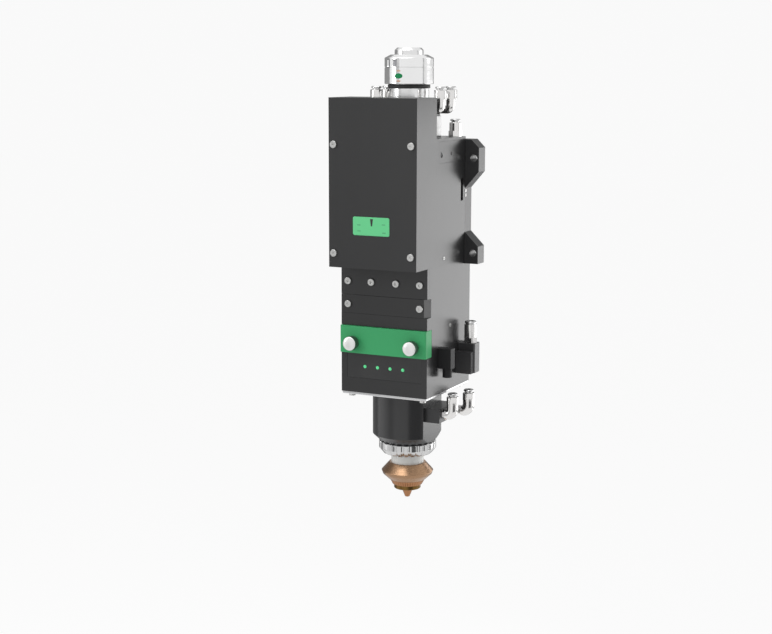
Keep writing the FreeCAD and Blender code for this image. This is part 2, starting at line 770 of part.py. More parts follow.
def lock_collar():
    """The collar that turns to lock the fibre connector."""
    inside = journal + running_gap
    mouth = cap_radius + running_gap
    line = top + collar_seam
    groove = collar_groove
    turned("lock_collar",
           [(inside, top + collar_start), (collar_radius - groove, top + collar_start),
            (collar_radius, top + collar_start + groove), (collar_radius, line - groove),
            (collar_radius - groove, line), (collar_radius, line + groove),
            (collar_radius, top + collar_shoulder), (collar_top_radius, top + collar_top),
            (mouth, top + collar_top), (mouth, top + collar_ceiling), (inside, top + collar_ceiling)])


def water_manifold():
    """The black block round the receiver that carries the water elbows on its two sides."""
    body = new_body("water_manifold")
    low = step + receiver_block_height
    half = manifold_width / 2
    box_pad(body, -half, half, axis - half, axis + half, low, low + manifold_height)
    bore(body, 0, axis, base_tube + running_gap, low, low + manifold_height)
    for start in (half - leg_root, -half):
        roots = new_sketch(body, "side", (start, 0, 0))
        for x, y in water_places()[:2]:
            circle(roots, y, low + elbow_rise, elbow_stem + flat_gap)
        cut(body, roots, leg_root)


def water_places():
    """The four water elbows, as (x, y)."""
    half = fitting_pitch / 2
    return [(x, axis + half * sign) for x in (fitting_right, -fitting_left) for sign in (-1, 1)]


def side_elbow(name, wall, x, y, centre):
    """A fixed elbow: a leg from a wall, a rounded foot, an upright body, a wider cap and its socket."""
    along = FreeCAD.Rotation(Vector(0, 1, 0), 90)
    right = x.value > 0
    reach = x - wall if right else wall - x
    leg = cylinder(name + "_leg", leg_radius, reach)
    place(leg, (wall if right else x, y, centre), along)
    root = cylinder(name + "_root", elbow_stem, reach + leg_root)
    place(root, (wall - leg_root if right else x, y, centre), along)
    foot = doc.addObject("Part::Cone", name + "_foot")
    foot.setExpression("Radius1", (fitting_radius * 0.6).text)
    foot.setExpression("Radius2", fitting_radius.text)
    foot.setExpression("Height", (fitting_radius * 0.55).text)
    place(foot, (x, y, centre - fitting_radius))
    barrel = cylinder(name + "_barrel", fitting_radius, fitting_height + fitting_radius * 0.45)
    place(barrel, (x, y, centre - fitting_radius * 0.45))
    cap = cylinder(name + "_cap", cap_width, cap_height)
    place(cap, (x, y, centre + fitting_height - cap_height))
    solid = doc.addObject("Part::MultiFuse", name + "_solid")
    solid.Shapes = [leg, root, foot, barrel, cap]
    hollow = cylinder(name + "_hollow", socket_radius, socket_depth)
    place(hollow, (x, y, centre + fitting_height - socket_depth))
    finished = doc.addObject("Part::Cut", name)
    finished.Base = solid
    finished.Tool = hollow
    return finished


def straight_fitting(name, x, y, foot, height, radius, hexagon_radius, socket, stem):
    """The body of a push-in fitting: hexagon, barrel and the socket for its release ring."""
    key = doc.addObject("Part::Prism", name + "_hex")
    key.Polygon = 6
    key.setExpression("Circumradius", as_size(hexagon_radius).text)
    key.setExpression("Height", as_size(fitting_hex_height).text)
    place(key, (x, y, foot))
    barrel = cylinder(name + "_barrel", radius, height)
    place(barrel, (x, y, foot))
    thread = cylinder(name + "_thread", elbow_stem, stem)
    place(thread, (x, y, foot - stem))
    solid = doc.addObject("Part::MultiFuse", name + "_solid")
    solid.Shapes = [key, barrel, thread]
    hollow = cylinder(name + "_hollow", socket, socket_depth)
    place(hollow, (x, y, foot + height - socket_depth))
    finished = doc.addObject("Part::Cut", name)
    finished.Base = solid
    finished.Tool = hollow
    return finished


def release_ring(name, x, y, mouth, socket, tube, lip_radius):
    """A release ring: a sleeve in its socket, with a lip that stands above by its travel."""
    body = new_body(name)
    outer = socket - running_gap
    under = release_travel + flat_gap * 2
    turn(body, "side", (x, y, 0), "V_Axis",
         [(tube, mouth - socket_depth / 2), (outer, mouth - socket_depth / 2), (outer, mouth + under),
          (lip_radius, mouth + under), (lip_radius, mouth + under + release_lip * 0.6),
          (lip_radius - release_lip * 0.4, mouth + under + release_lip), (tube, mouth + under + release_lip)])
    return body


def top_fittings():
    """Four push-in elbows on the manifold, one fitting on the step behind the cover, and their rings."""
    centre = step + receiver_block_height + elbow_rise
    half = manifold_width / 2
    made = []
    for i, (x, y) in enumerate(water_places(), 1):
        made.append(side_elbow(f"water_elbow_{i}", half if x.value > 0 else -half, x, y, centre))
        release_ring(f"water_release_{i}", x, y, centre + fitting_height, socket_radius, tube_radius,
                     release_lip_radius)
    x = step_fitting_across
    y = plate_front - step_fitting_back
    made.append(straight_fitting("purge_fitting", x, y, step, step_fitting_height, purge_radius,
                                 fitting_hex, socket_radius, fitting_hex_height))
    release_ring("purge_release", x, y, step + step_fitting_height, socket_radius, tube_radius,
                 release_lip_radius)
    group("top_fittings", made)


def lens_solid(name, foot):
    """A lens, flat below and crowned above."""
    edge = foot + lens_thickness - lens_crown
    half = lens_radius * 0.5
    return turned(name, [(0, foot), (lens_radius, foot), (lens_radius, edge),
                         (half, edge + lens_crown * 0.75), (0, edge + lens_crown)])


def retainer(name, foot, radius):
    """A threaded ring that holds a lens or window down, with two key slots."""
    body = turned(name, [(radius - lens_seat * 1.5, foot), (radius, foot), (radius, foot + retainer_height),
                         (radius - lens_seat * 1.5, foot + retainer_height)])
    box_cut(body, -lens_seat, lens_seat, axis - radius, axis + radius, foot + retainer_height * 0.5,
            foot + retainer_height)
    return body


def fixed_retainers():
    """The retaining rings of the collimating lens and of the upper window, in one file."""
    low, _ = upper_tray()
    cell_low = cell_top - cell_height
    places = (("collimator_ring", cell_low + lens_seat + lens_thickness, lens_radius),
              ("upper_window_ring", low + window_ledge * 2 + window_thickness, window_radius))
    made = [retainer(name, foot, radius) for name, foot, radius in places]
    for body in made:
        parts.remove(body)
    group("fixed_retainers", made)


def collimator():
    """The fixed upper lens in its cell, a plate held between the housing's walls."""
    body = new_body("collimator_cell")
    high = cell_top
    low = high - cell_height
    inner = side - housing_side_wall
    back = plate_front - housing_back_wall
    box_pad(body, -inner, inner, axis - barrel_radius, back, low, high)
    bore(body, 0, axis, lens_radius - lens_seat, low, high)
    bore(body, 0, axis, lens_radius + lens_gap, low + lens_seat, high)
    for sign in (-1, 1):
        bore(body, rod_spread * sign, axis, rod_radius + running_gap, low, low + rod_sink)
    lens_solid("collimating_lens", low + lens_seat)


def guide_rods():
    """Two rods from the collimator cell down to the floor of the lens cavity."""
    low = seam - cavity_below - rod_sink
    high = cell_top - cell_height + rod_sink
    made = []
    for i, sign in enumerate((-1, 1), 1):
        rod = cylinder(f"guide_rod_{i}", rod_radius, high - low)
        place(rod, (rod_spread * sign, axis, low))
        made.append(rod)
    group("guide_rods", made)


def lens_carriage():
    """The barrel that carries the focusing lens along two rods, with a tongue to the drive nut."""
    body = new_body("lens_carriage")
    reach = rod_spread
    sketch = new_sketch(body, "top", (0, 0, barrel_bottom))
    circle(sketch, 0, axis, barrel_radius)
    pad(body, sketch, barrel_height)
    box_pad(body, -reach, reach, axis - bush_radius, axis + bush_radius, barrel_bottom, barrel_top)
    for sign in (-1, 1):
        ear = new_sketch(body, "top", (0, 0, barrel_bottom))
        circle(ear, reach * sign, axis, bush_radius)
        pad(body, ear, barrel_height)
    half = tongue_width / 2
    box_pad(body, -half, half, drive_y - half, axis, barrel_top - tongue_height, barrel_top)
    bore(body, 0, axis, lens_radius - lens_seat, barrel_bottom, barrel_top)
    bore(body, 0, axis, lens_radius + lens_gap, barrel_bottom + lens_seat, barrel_top)
    for sign in (-1, 1):
        bore(body, reach * sign, axis, rod_radius + running_gap, barrel_bottom, barrel_top)
    bore(body, 0, drive_y, nut_radius + flat_gap, barrel_top - tongue_height, barrel_top)
    lens_solid("focus_lens", barrel_bottom + lens_seat)
    retainer("focus_retainer", barrel_bottom + lens_seat + lens_thickness, lens_radius)


def drive():
    """The motor on its bracket, the lead screw, its nut and the lower bearing on a foot."""
    half = motor_width / 2
    motor_bottom = top - motor_drop - motor_height
    body = new_body("focus_motor")
    block = box_pad(body, -half, half, drive_y - half, drive_y + half, motor_bottom, top - motor_drop)
    middle = (motor_bottom + motor_height / 2).value
    chamfer(body, block, motor_corner, lambda point, box: abs(point.z - middle) < 0.1
            and box.ZLength > 1)
    boss = new_sketch(body, "top", (0, 0, motor_bottom - motor_boss_height))
    circle(boss, 0, drive_y, motor_boss)
    pad(body, boss, motor_boss_height)
    bore(body, 0, drive_y, screw_radius + running_gap, motor_bottom - motor_boss_height,
         motor_bottom + motor_height / 2)

    bracket = new_body("motor_bracket")
    wide = bracket_width / 2
    shelf = motor_bottom - bracket_thickness
    box_pad(bracket, -wide, wide, drive_y - half, cover_back, shelf, motor_bottom)
    box_pad(bracket, -wide, wide, cover_back - bracket_thickness, cover_back, shelf, top - bracket_top)
    bore(bracket, 0, drive_y, motor_boss + flat_gap, shelf, motor_bottom)

    foot = new_body("screw_foot")
    high = seam + foot_height
    wide = foot_width / 2
    near = drive_y - nut_flange - foot_arm / 5
    far = cover_back - cover_lip
    profile = new_sketch(foot, "side", (-wide, 0, 0))
    outline(profile, [(near, high), (far, high), (far, seam), (far - foot_length, seam),
                      (far - foot_length, high - foot_arm), (near, high - foot_arm)])
    pad(foot, profile, foot_width)
    bore(foot, 0, drive_y, bearing_radius, high - bearing_height, high)
    bore(foot, 0, drive_y, screw_radius, high - foot_arm, high - bearing_height)

    bearing = new_body("screw_bearing")
    ring = new_sketch(bearing, "top", (0, 0, high - bearing_height))
    circle(ring, 0, drive_y, bearing_radius)
    circle(ring, 0, drive_y, screw_journal + running_gap)
    pad(bearing, ring, bearing_height)

    lead = new_body("lead_screw")
    turn(lead, "side", (0, drive_y, 0), "V_Axis",
         [(0, high - bearing_height), (screw_journal, high - bearing_height), (screw_journal, high),
          (screw_radius, high), (screw_radius, motor_bottom + motor_height / 2 - flat_gap),
          (0, motor_bottom + motor_height / 2 - flat_gap)])

    nut = new_body("drive_nut")
    foot_z = barrel_top - tongue_height
    turn(nut, "side", (0, drive_y, 0), "V_Axis",
         [(screw_radius + running_gap, foot_z), (nut_radius, foot_z), (nut_radius, barrel_top),
          (nut_flange, barrel_top), (nut_flange, barrel_top + nut_flange_height),
          (screw_radius + running_gap, barrel_top + nut_flange_height)])


def lower_housing():
    """The block with the lens cavity, the two drawer slots and the beam bore."""
    body = new_body("lower_housing")
    back = -lower_back_gap
    sketch = new_sketch(body, "top", (0, 0, lower_bottom))
    rectangle(sketch, -side, side, lower_front, back)
    pad(body, sketch, seam - lower_bottom)
    box_cut(body, -side, side, lower_front, lower_front + upper_panel_thickness, panel_bottom, seam)
    box_cut(body, -side, side, lower_front, lower_front + upper_drawer_front, drawer_line, panel_bottom)
    box_cut(body, -side, side, lower_front, drawer_seat(), drawer_bottom, drawer_top)
    box_cut(body, -side, side, plate_front, back, -plate_below_mount - flat_gap * 4, seam)
    inner = side - housing_side_wall
    cavity = seam - cavity_below
    box_cut(body, -inner, inner, cover_back, plate_front - housing_back_wall, cavity, seam)
    bore(body, 0, axis, beam_radius + window_ledge, lower_bottom, cavity)
    wide = tray_half_width + slide_gap
    slots = ((lower_front + upper_drawer_front, upper_tray()), (drawer_seat(), lower_tray()))
    for near, (low, high) in slots:
        box_cut(body, -wide, wide, near, lower_front + upper_drawer_front + tray_length + slide_gap,
                low - slide_gap, high + slide_gap)
    for sign in (-1, 1):
        bore(body, rod_spread * sign, axis, rod_radius + running_gap, cavity - rod_sink, cavity)
    recess_top = drawer_bottom - flat_gap * 3
    half = lamp_panel_width / 2 + flat_gap
    box_cut(body, -half, half, lower_front, lower_front + lamp_panel_sink,
            recess_top - lamp_panel_height - flat_gap * 2, recess_top)
    front_holes(body, panel_screw_places()[:4], screw_shank + flat_gap,
                lower_front + upper_panel_thickness, screw_reach)
    front_holes(body, panel_screw_places()[4:], screw_shank + flat_gap,
                lower_front + upper_drawer_front, screw_reach)
    knobs = [(knob_spread * sign, knob_height()) for sign in (-1, 1)]
    front_holes(body, knobs, knob_shank + flat_gap, drawer_seat(), knob_reach + flat_gap * 5)
    sketch = new_sketch(body, "top", (0, 0, lower_bottom))
    for x, y in base_screw_places():
        circle(sketch, x, y, screw_shank + flat_gap)
    cut(body, sketch, screw_reach)


def drawer_seat():
    """The face that the lower drawer's front closes on."""
    return lower_front - drawer_proud + drawer_front_depth


def upper_tray():
    """The lowest and highest z of the upper tray."""
    middle = (panel_bottom + drawer_line) / 2
    return middle - upper_tray_height / 2, middle + upper_tray_height / 2


def lower_tray():
    """The lowest and highest z of the lower tray."""
    middle = (drawer_top + drawer_bottom) / 2
    return middle - lower_tray_height / 2, middle + lower_tray_height / 2


def knob_height():
    """The z of the two thumbscrews."""
    return (drawer_top + drawer_bottom) / 2 - knob_below_middle


def panel_screw_places():
    """Four screws in the upper panel, then two in the upper drawer, as (x, z)."""
    row = seam - panel_screw_drop
    outer = side - panel_screw_edge
    middle = (panel_bottom + drawer_line) / 2
    return [(x, row) for x in (-outer, -panel_screw_inner, panel_screw_inner, outer)] + \
        [(-outer, middle), (outer, middle)]


def upper_panel():
    """The flat panel under the cover that closes the front of the lens cavity."""
    body = new_body("upper_panel")
    sketch = new_sketch(body, "front", (0, lower_front + upper_panel_thickness, 0))
    rectangle(sketch, -side, side, panel_bottom + flat_gap, seam)
    pad(body, sketch, upper_panel_thickness)
    front_holes(body, panel_screw_places()[:4], screw_shank + flat_gap, lower_front, upper_panel_thickness)


def upper_drawer():
    """The upper window drawer, front and tray in one, held shut by two screws."""
    body = new_body("upper_window_drawer")
    seat = lower_front + upper_drawer_front
    low, high = upper_tray()
    foot = drawer_line + flat_gap
    plan = new_sketch(body, "top", (0, 0, foot))
    outline(plan, [(-side, lower_front), (side - upper_drawer_notch, lower_front), (side, seat), (-side, seat)])
    pad(body, plan, panel_bottom - flat_gap - foot)
    box_pad(body, -tray_half_width, tray_half_width, seat, seat + tray_length, low, high)
    bore(body, 0, axis, window_radius - window_ledge, low, high)
    bore(body, 0, axis, window_radius + lens_gap, low + window_ledge * 2, high)
    front_holes(body, panel_screw_places()[4:], screw_shank + flat_gap, lower_front, upper_drawer_front)
    turned("upper_window", [(0, low + window_ledge * 2), (window_radius, low + window_ledge * 2),
                            (window_radius, low + window_ledge * 2 + window_thickness),
                            (0, low + window_ledge * 2 + window_thickness)])


def panel_screws():
    """The six front screws, four in the panel and two in the drawer."""
    outer = [(x, lower_front, z) for x, z in panel_screw_places()]
    small_screws("front_screws", outer, upper_panel_thickness + screw_reach - flat_gap * 2)


def lower_drawer():
    """The drawer of the lower protective window: a thick front and a long tray."""
    front_face = lower_front - drawer_proud
    body = new_body("drawer_front")
    block = box_pad(body, -side, side, front_face, drawer_seat(), drawer_bottom + flat_gap * 2,
                    drawer_top - flat_gap * 2)
    face = front_face.value
    edge = side.value
    block = fillet(body, block, drawer_round, lambda middle, box: abs(middle.y - face) < 0.01
                   and abs(abs(middle.x) - edge) < 0.01)
    knobs = [(knob_spread * sign, knob_height()) for sign in (-1, 1)]
    front_holes(body, knobs, knob_shank + running_gap, front_face, drawer_front_depth)

    tray = new_body("drawer_tray")
    low, high = lower_tray()
    box_pad(tray, -tray_half_width, tray_half_width, drawer_seat(),
            lower_front + upper_drawer_front + tray_length, low, high)
    bore(tray, 0, axis, window_radius - window_ledge, low, high)
    bore(tray, 0, axis, window_radius + lens_gap, low + window_ledge * 3, high)
    turned("protective_window", [(0, low + window_ledge * 3), (window_radius, low + window_ledge * 3),
                                 (window_radius, low + window_ledge * 3 + window_thickness),
                                 (0, low + window_ledge * 3 + window_thickness)])
    retainer("window_retainer", low + window_ledge * 3 + window_thickness, window_radius)

    for name, sign in (("thumbscrew_left", -1), ("thumbscrew_right", 1)):
        knob = new_body(name)
        dome = knob_length * 0.18
        rim = knob_length * 0.1
        shank_end = drawer_front_depth + knob_reach
        turn(knob, "side", (knob_spread * sign, front_face, knob_height()), "H_Axis",
             [(-knob_length, 0), (-knob_length, knob_radius * 0.55),
              (-knob_length + dome, knob_radius * 0.93), (-knob_length + dome + rim, knob_radius),
              (-rim, knob_radius), (0, knob_radius - rim), (0, knob_shank), (shank_end, knob_shank),
              (shank_end, 0)])


def lamp_panel():
    """The inset panel with four status lamps."""
    high = drawer_bottom - flat_gap * 4
    low = high - lamp_panel_height
    plane = lower_front + lamp_panel_sink
    body = new_body("lamp_panel")
    sketch = new_sketch(body, "front", (0, plane, 0))
    rectangle(sketch, -lamp_panel_width / 2, lamp_panel_width / 2, low, high)
    pad(body, sketch, lamp_panel_thickness)
    places = [(lamp_pitch * (i - 1.5), high - lamp_drop) for i in range(4)]
    front_holes(body, places, lamp_radius, plane - lamp_panel_thickness, lamp_panel_thickness)
    made = []
    for i, (x, z) in enumerate(places, 1):
        lamp = cylinder(f"lamp_{i}", lamp_radius, lamp_panel_thickness + lamp_proud)
        place(lamp, (x, plane, z), TURNS["front"])
        made.append(lamp)
    group("status_lamps", made)


def base_screw_places():
    """Four places on the underside, as (x, y)."""
    across = side - panel_screw_edge
    near = lower_front + panel_screw_edge
    far = -lower_back_gap - panel_screw_edge
    return [(across * sign, y) for sign in (-1, 1) for y in (near, far)]


def base_plate():
    """The bright plate under the lower housing that carries the sensor, and its screws."""
    body = new_body("base_plate")
    edge = side - base_plate_inset
    plate = box_pad(body, -edge, edge, lower_front + base_plate_inset, -lower_back_gap - base_plate_inset,
                    base_bottom, lower_bottom)
    low = base_bottom.value
    chamfer(body, plate, base_plate_inset, lambda point, box: abs(point.z - low) < 0.01
            and box.ZLength < 0.01)
    bore(body, 0, axis, beam_radius, base_bottom, lower_bottom)
    made = []
    for x, y in base_screw_places():
        bore(body, x, y, screw_shank + flat_gap, base_bottom, lower_bottom)
    for i, (x, y) in enumerate(base_screw_places(), 1):
        made.append(screw(f"base_screw_{i}", (x, y, base_bottom), "down", base_screw_head,
                          base_screw_height, screw_shank, base_plate_thickness + screw_reach - flat_gap * 5,
                          screw_socket, screw_socket_depth))
    group("base_screws", made)


def sensor_body():
    """The round sensor body with its cone, its side flat and the thread for the lock ring."""
    body = turned("sensor_body",
                  [(0, ring_top - sensor_thread_height), (sensor_thread, ring_top - sensor_thread_height),
                   (sensor_thread, ring_top), (sensor_cone_radius, ring_top), (sensor_radius, cone_top),
                   (sensor_radius, base_bottom), (0, base_bottom)])
    box_cut(body, sensor_flat, sensor_radius + 1, axis - sensor_radius, axis + sensor_radius,
            ring_top, base_bottom)
    turn(body, "side", (0, axis, 0), "V_Axis",
         [(0, ring_top - sensor_thread_height), (ceramic_bore, ring_top - sensor_thread_height),
          (ceramic_bore, ring_top), (beam_radius, base_bottom), (0, base_bottom)], hollow=True)


def port_block():
    """The black block on the sensor's flat, with the stems of two swivel elbows."""
    body = new_body("port_block")
    high = base_bottom - port_drop
    near = axis - port_front
    box_pad(body, sensor_flat, sensor_flat + port_reach, near, near + port_length, high - port_height, high)
    centre = high - port_height * 0.4
    sketch = new_sketch(body, "side", (sensor_flat + port_reach - elbow_hex_height, 0, 0))
    for y in elbow_places():
        circle(sketch, y, centre, elbow_stem + flat_gap)
    cut(body, sketch, elbow_hex_height)
    made = []
    for i, (y, reach) in enumerate(zip(elbow_places(), elbow_reaches()), 1):
        made.append(elbow_stem_solid(f"elbow_stem_{i}", y, centre, reach))
    group("elbow_stems", made)


def elbow_places():
    """The y of the two elbows on the sensor."""
    first = axis - port_front + elbow_front_back
    return first, first + elbow_pitch


def elbow_reaches():
    """How far each elbow's upright stands out from the port block."""
    return elbow_front_reach, elbow_rear_reach


def elbow_stem_solid(name, y, centre, reach):
    """A stem with a hexagon: screwed into the block, with a journal that the elbow swivels on."""
    across = FreeCAD.Rotation(Vector(0, 1, 0), 90)
    wall = sensor_flat + port_reach
    root = cylinder(name + "_root", elbow_stem, elbow_hex_height * 2 + reach - elbow_radius)
    place(root, (wall - elbow_hex_height, y, centre), across)
    nut = doc.addObject("Part::Prism", name + "_hex")
    nut.Polygon = 6
    nut.setExpression("Circumradius", elbow_hex.text)
    nut.setExpression("Height", (elbow_hex_height + reach - elbow_front_reach).text)
    place(nut, (wall, y, centre), across)
    solid = doc.addObject("Part::Fuse", name)
    solid.Base = root
    solid.Tool = nut
    return solid


def elbows():
    """Two elbows that swivel on their stems, each with a release ring on top."""
    centre = base_bottom - port_drop - port_height * 0.4
    wall = sensor_flat + port_reach
    names = ("front", "rear")
    for name, y, reach in zip(names, elbow_places(), elbow_reaches()):
        body = new_body(f"elbow_{name}")
        start = elbow_hex_height + reach - elbow_front_reach + running_gap
        upright = wall + reach
        turn(body, "front", (wall, y, centre), "H_Axis",
             [(start, 0), (start, elbow_radius - 0.6), (reach, elbow_radius - 0.6), (reach, 0)])
        turn(body, "side", (upright, y, centre), "V_Axis",
             [(0, -elbow_radius), (elbow_radius - 1.2, -elbow_radius), (elbow_radius, -elbow_radius + 1.2),
              (elbow_radius, elbow_height - 0.8), (elbow_radius - 0.8, elbow_height), (0, elbow_height)])
        stem_hole = new_sketch(body, "side", (wall + start, 0, 0))
        circle(stem_hole, y, centre, elbow_stem + running_gap)
        cut(body, stem_hole, reach - start - elbow_radius + elbow_hex_height + flat_gap * 2)
        bore(body, upright, y, socket_radius, centre + elbow_height - socket_depth, centre + elbow_height)
        release_ring(f"elbow_release_{name}", upright, y, centre + elbow_height, socket_radius,
                     tube_radius, release_lip_radius)


def flutes(body, low, height, radius, count):
    """Upright grooves round a rim, each with two flat sides."""
    sketch = new_sketch(body, "top", (0, axis, low))
    outline(sketch, [(-flute_width, -radius - flute_depth), (flute_width, -radius - flute_depth),
                     (0, -radius + flute_depth)])
    groove = cut(body, sketch, height)
    pattern(body, groove, (sketch, ["N_Axis"]), count)


def lock_ring():
    """The grip ring that clamps the ceramic, tapered below and fluted round its rim."""
    thread = sensor_thread + running_gap
    mouth = ceramic_radius + flat_gap * 2
    lip = clamp_line
    edge = 0.6
    body = turned("lock_ring",
                  [(mouth, ring_bottom), (ring_low_radius, ring_bottom),
                   (ring_radius, ring_bottom + ring_height * 0.42), (ring_radius, ring_top - edge),
                   (ring_radius - edge, ring_top), (thread, ring_top), (thread, lip), (mouth, lip)])
    flutes(body, ring_bottom, ring_height, ring_radius, ring_flutes)


def ceramic_body():
    """The white ceramic: a flange in the lock ring and a neck down to the nozzle holder."""
    flange_low = clamp_line
    turned("ceramic_body",
           [(ceramic_bore, holder_top - ceramic_sink), (ceramic_radius, holder_top - ceramic_sink),
            (ceramic_radius, flange_low), (ceramic_flange, flange_low),
            (ceramic_flange, flange_low + ceramic_flange_height),
            (ceramic_bore, flange_low + ceramic_flange_height)])


def nozzle_holder():
    """The copper double cone between the ceramic and the nozzle."""
    widest = holder_top - holder_upper_cone
    turned("nozzle_holder",
           [(nozzle_thread + running_gap, holder_bottom), (holder_low_radius, holder_bottom),
            (holder_rim_radius, widest - holder_rim), (holder_radius, widest),
            (holder_top_radius, holder_top),
            (ceramic_radius + lens_gap, holder_top), (ceramic_radius + lens_gap, holder_top - ceramic_sink),
            (ceramic_bore, holder_top - ceramic_sink),
            (nozzle_thread + running_gap, holder_bottom + nozzle_thread_height + 1)])


def nozzle():
    """The copper nozzle: a fluted grip, a step, a cone to the tip and a tapering bore."""
    grip_low = holder_bottom - nozzle_grip
    step_low = grip_low - nozzle_step_height
    tip = step_low - nozzle_cone_height
    edge = 0.5
    body = turned("nozzle",
                  [(0, tip), (nozzle_tip_radius, tip), (nozzle_cone_radius, step_low),
                   (nozzle_step_radius - edge, step_low), (nozzle_step_radius, step_low + edge),
                   (nozzle_step_radius, grip_low), (nozzle_low_radius, grip_low),
                   (nozzle_radius, holder_bottom), (nozzle_thread, holder_bottom),
                   (nozzle_thread, holder_bottom + nozzle_thread_height),
                   (0, holder_bottom + nozzle_thread_height)])
    turn(body, "side", (0, axis, 0), "V_Axis",
         [(0, tip), (orifice, tip), (orifice, tip + orifice * 2),
          (nozzle_thread * 0.8, holder_bottom + nozzle_thread_height),
          (0, holder_bottom + nozzle_thread_height)], hollow=True)
    flutes(body, grip_low, nozzle_grip, nozzle_radius, nozzle_flutes)


def side_blocks():
    """The signal block and the gas inlet block on the right side, and the gas fitting."""
    high = seam - signal_block_drop
    near = lower_front + signal_block_back
    body = new_body("signal_block")
    box_pad(body, side, side + signal_block_reach, near, near + signal_block_length,
            high - signal_block_height, high)
    plug = new_sketch(body, "top", (0, 0, high - signal_block_height - signal_plug_height))
    middle = side + signal_block_reach - signal_plug_radius - 1
    circle(plug, middle, near + signal_block_length / 2, signal_plug_radius)
    pad(body, plug, signal_plug_height)
    socket = new_sketch(body, "top", (0, 0, high - signal_block_height - signal_plug_height))
    circle(socket, middle, near + signal_block_length / 2, signal_plug_radius - 1)
    cut(body, socket, signal_plug_height - 2)

    top_z = seam - gas_block_drop
    far = -gas_block_end
    start = far - gas_block_length
    block = new_body("gas_block")
    column = box_pad(block, side, side + gas_block_reach, start, far, top_z - gas_block_height, top_z)
    edge = (side + gas_block_reach).value
    column = fillet(block, column, gas_block_round, lambda point, box: abs(point.x - edge) < 0.01
                    and box.ZLength > 5)
    box_pad(block, side, side + gas_bridge_reach, start - gas_bridge_length, start,
            top_z - gas_block_height, top_z - gas_block_height + gas_bridge_height)
    x = side + gas_block_reach - gas_fitting_hex - flat_gap * 5
    y = far - gas_block_length / 2
    bore(block, x, y, elbow_stem + flat_gap, top_z - fitting_hex_height, top_z)
    made = straight_fitting("gas_inlet", x, y, top_z, gas_fitting_height, gas_fitting_radius,
                            gas_fitting_hex, gas_socket_radius, fitting_hex_height)
    group("gas_fitting", [made])
    release_ring("gas_release", x, y, top_z + gas_fitting_height, gas_socket_radius, gas_tube_radius,
                 gas_socket_radius + 0.7)


def build():
    """Make every sub-part."""
    for make in (mounting_plate, plate_screws, main_housing, side_panel, front_cover, cover_screws,
                 scale_plate, fibre_receiver, receiver_seal, lock_collar, water_manifold, top_fittings,
                 collimator, guide_rods, lens_carriage, drive, lower_housing, upper_panel,
                 upper_drawer, fixed_retainers, panel_screws, lower_drawer, lamp_panel, base_plate,
                 sensor_body, port_block, elbows, lock_ring, ceramic_body, nozzle_holder, nozzle,
                 side_blocks):
        make()
    doc.recompute()


def check():
    """Stop if a feature failed or a sub-part is not a valid solid."""
    for item in doc.Objects:
        if "Invalid" in item.State or "Error" in item.State:
            raise SystemExit(f"{item.Name} failed: {item.State}")
    for item in doc.Objects:
        if item.TypeId in ("PartDesign::Pocket", "PartDesign::Groove"):
            if item.Shape.Volume > item.BaseFeature.Shape.Volume - 0.01:
                raise SystemExit(f"{item.Name} takes nothing away")
    for item in parts:
        if item.Shape.isNull() or not item.Shape.isValid() or not item.Shape.Solids:
            raise SystemExit(f"{item.Label} is not a valid solid")


def export():
    """Write each sub-part to its own file."""
    os.makedirs("parts", exist_ok=True)
    for item in parts:
        item.Shape.exportStep(f"parts/{item.Label}.step")


build()
check()
export()
print(f"{len(parts)} sub-parts written")
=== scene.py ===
"""The looks of a laser cutting head: finishes, rounded edges, grips, marks, lights and camera.

Sizes are in millimetres in the row frame until a mesh is made. The optical axis is upright at
x = 0, y = AXIS.
"""

import json
import math

import bmesh
import bpy
import numpy as np
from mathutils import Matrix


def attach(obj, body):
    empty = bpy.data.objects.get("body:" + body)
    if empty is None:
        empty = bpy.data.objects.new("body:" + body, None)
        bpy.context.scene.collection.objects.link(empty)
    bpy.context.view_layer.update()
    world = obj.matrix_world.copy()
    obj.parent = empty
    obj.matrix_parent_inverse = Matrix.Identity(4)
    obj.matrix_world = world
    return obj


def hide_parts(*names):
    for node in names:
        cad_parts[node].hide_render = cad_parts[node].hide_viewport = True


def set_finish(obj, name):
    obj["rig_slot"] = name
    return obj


MM = 0.001
# the y of the optical axis, of the cover's front and of the lower block's front
AXIS = -45.2
FRONT = -118.0
LOWER_FRONT = -95.1
# the x of the right side, and the z of the thumbscrews, the lamps and the sensor's elbows
RIGHT = 42.0
KNOB_HEIGHT = -118.0
LAMP_HEIGHT = -139.4
SENSOR_ELBOW_HEIGHT = -185.0

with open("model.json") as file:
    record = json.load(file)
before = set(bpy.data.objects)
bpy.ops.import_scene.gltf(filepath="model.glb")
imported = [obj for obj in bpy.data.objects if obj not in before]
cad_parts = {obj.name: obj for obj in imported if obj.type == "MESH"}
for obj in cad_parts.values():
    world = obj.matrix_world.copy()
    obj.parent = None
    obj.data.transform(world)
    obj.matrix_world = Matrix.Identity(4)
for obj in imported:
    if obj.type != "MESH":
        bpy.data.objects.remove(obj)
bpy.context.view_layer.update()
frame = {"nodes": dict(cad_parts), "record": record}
scene = bpy.context.scene


# ---- meshes ----

def new_piece(name, mesh, body, slot, sharp=35):
    """An object at the origin that rides on a body, smooth but for edges sharper than an angle."""
    mesh.polygons.foreach_set("use_smooth", np.ones(len(mesh.polygons), dtype=bool))
    mesh.set_sharp_from_angle(angle=math.radians(sharp))
    piece = bpy.data.objects.new(name, mesh)
    scene.collection.objects.link(piece)
    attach(piece, body)
    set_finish(piece, slot)
    return piece


def close_up(mesh):
    """Join points that meet, so seams and poles close, and turn the faces outwards."""
    work = bmesh.new()
    work.from_mesh(mesh)
    bmesh.ops.remove_doubles(work, verts=work.verts, dist=0.00001)
    bmesh.ops.recalc_face_normals(work, faces=work.faces)
    work.to_mesh(mesh)
    work.free()
    mesh.update()


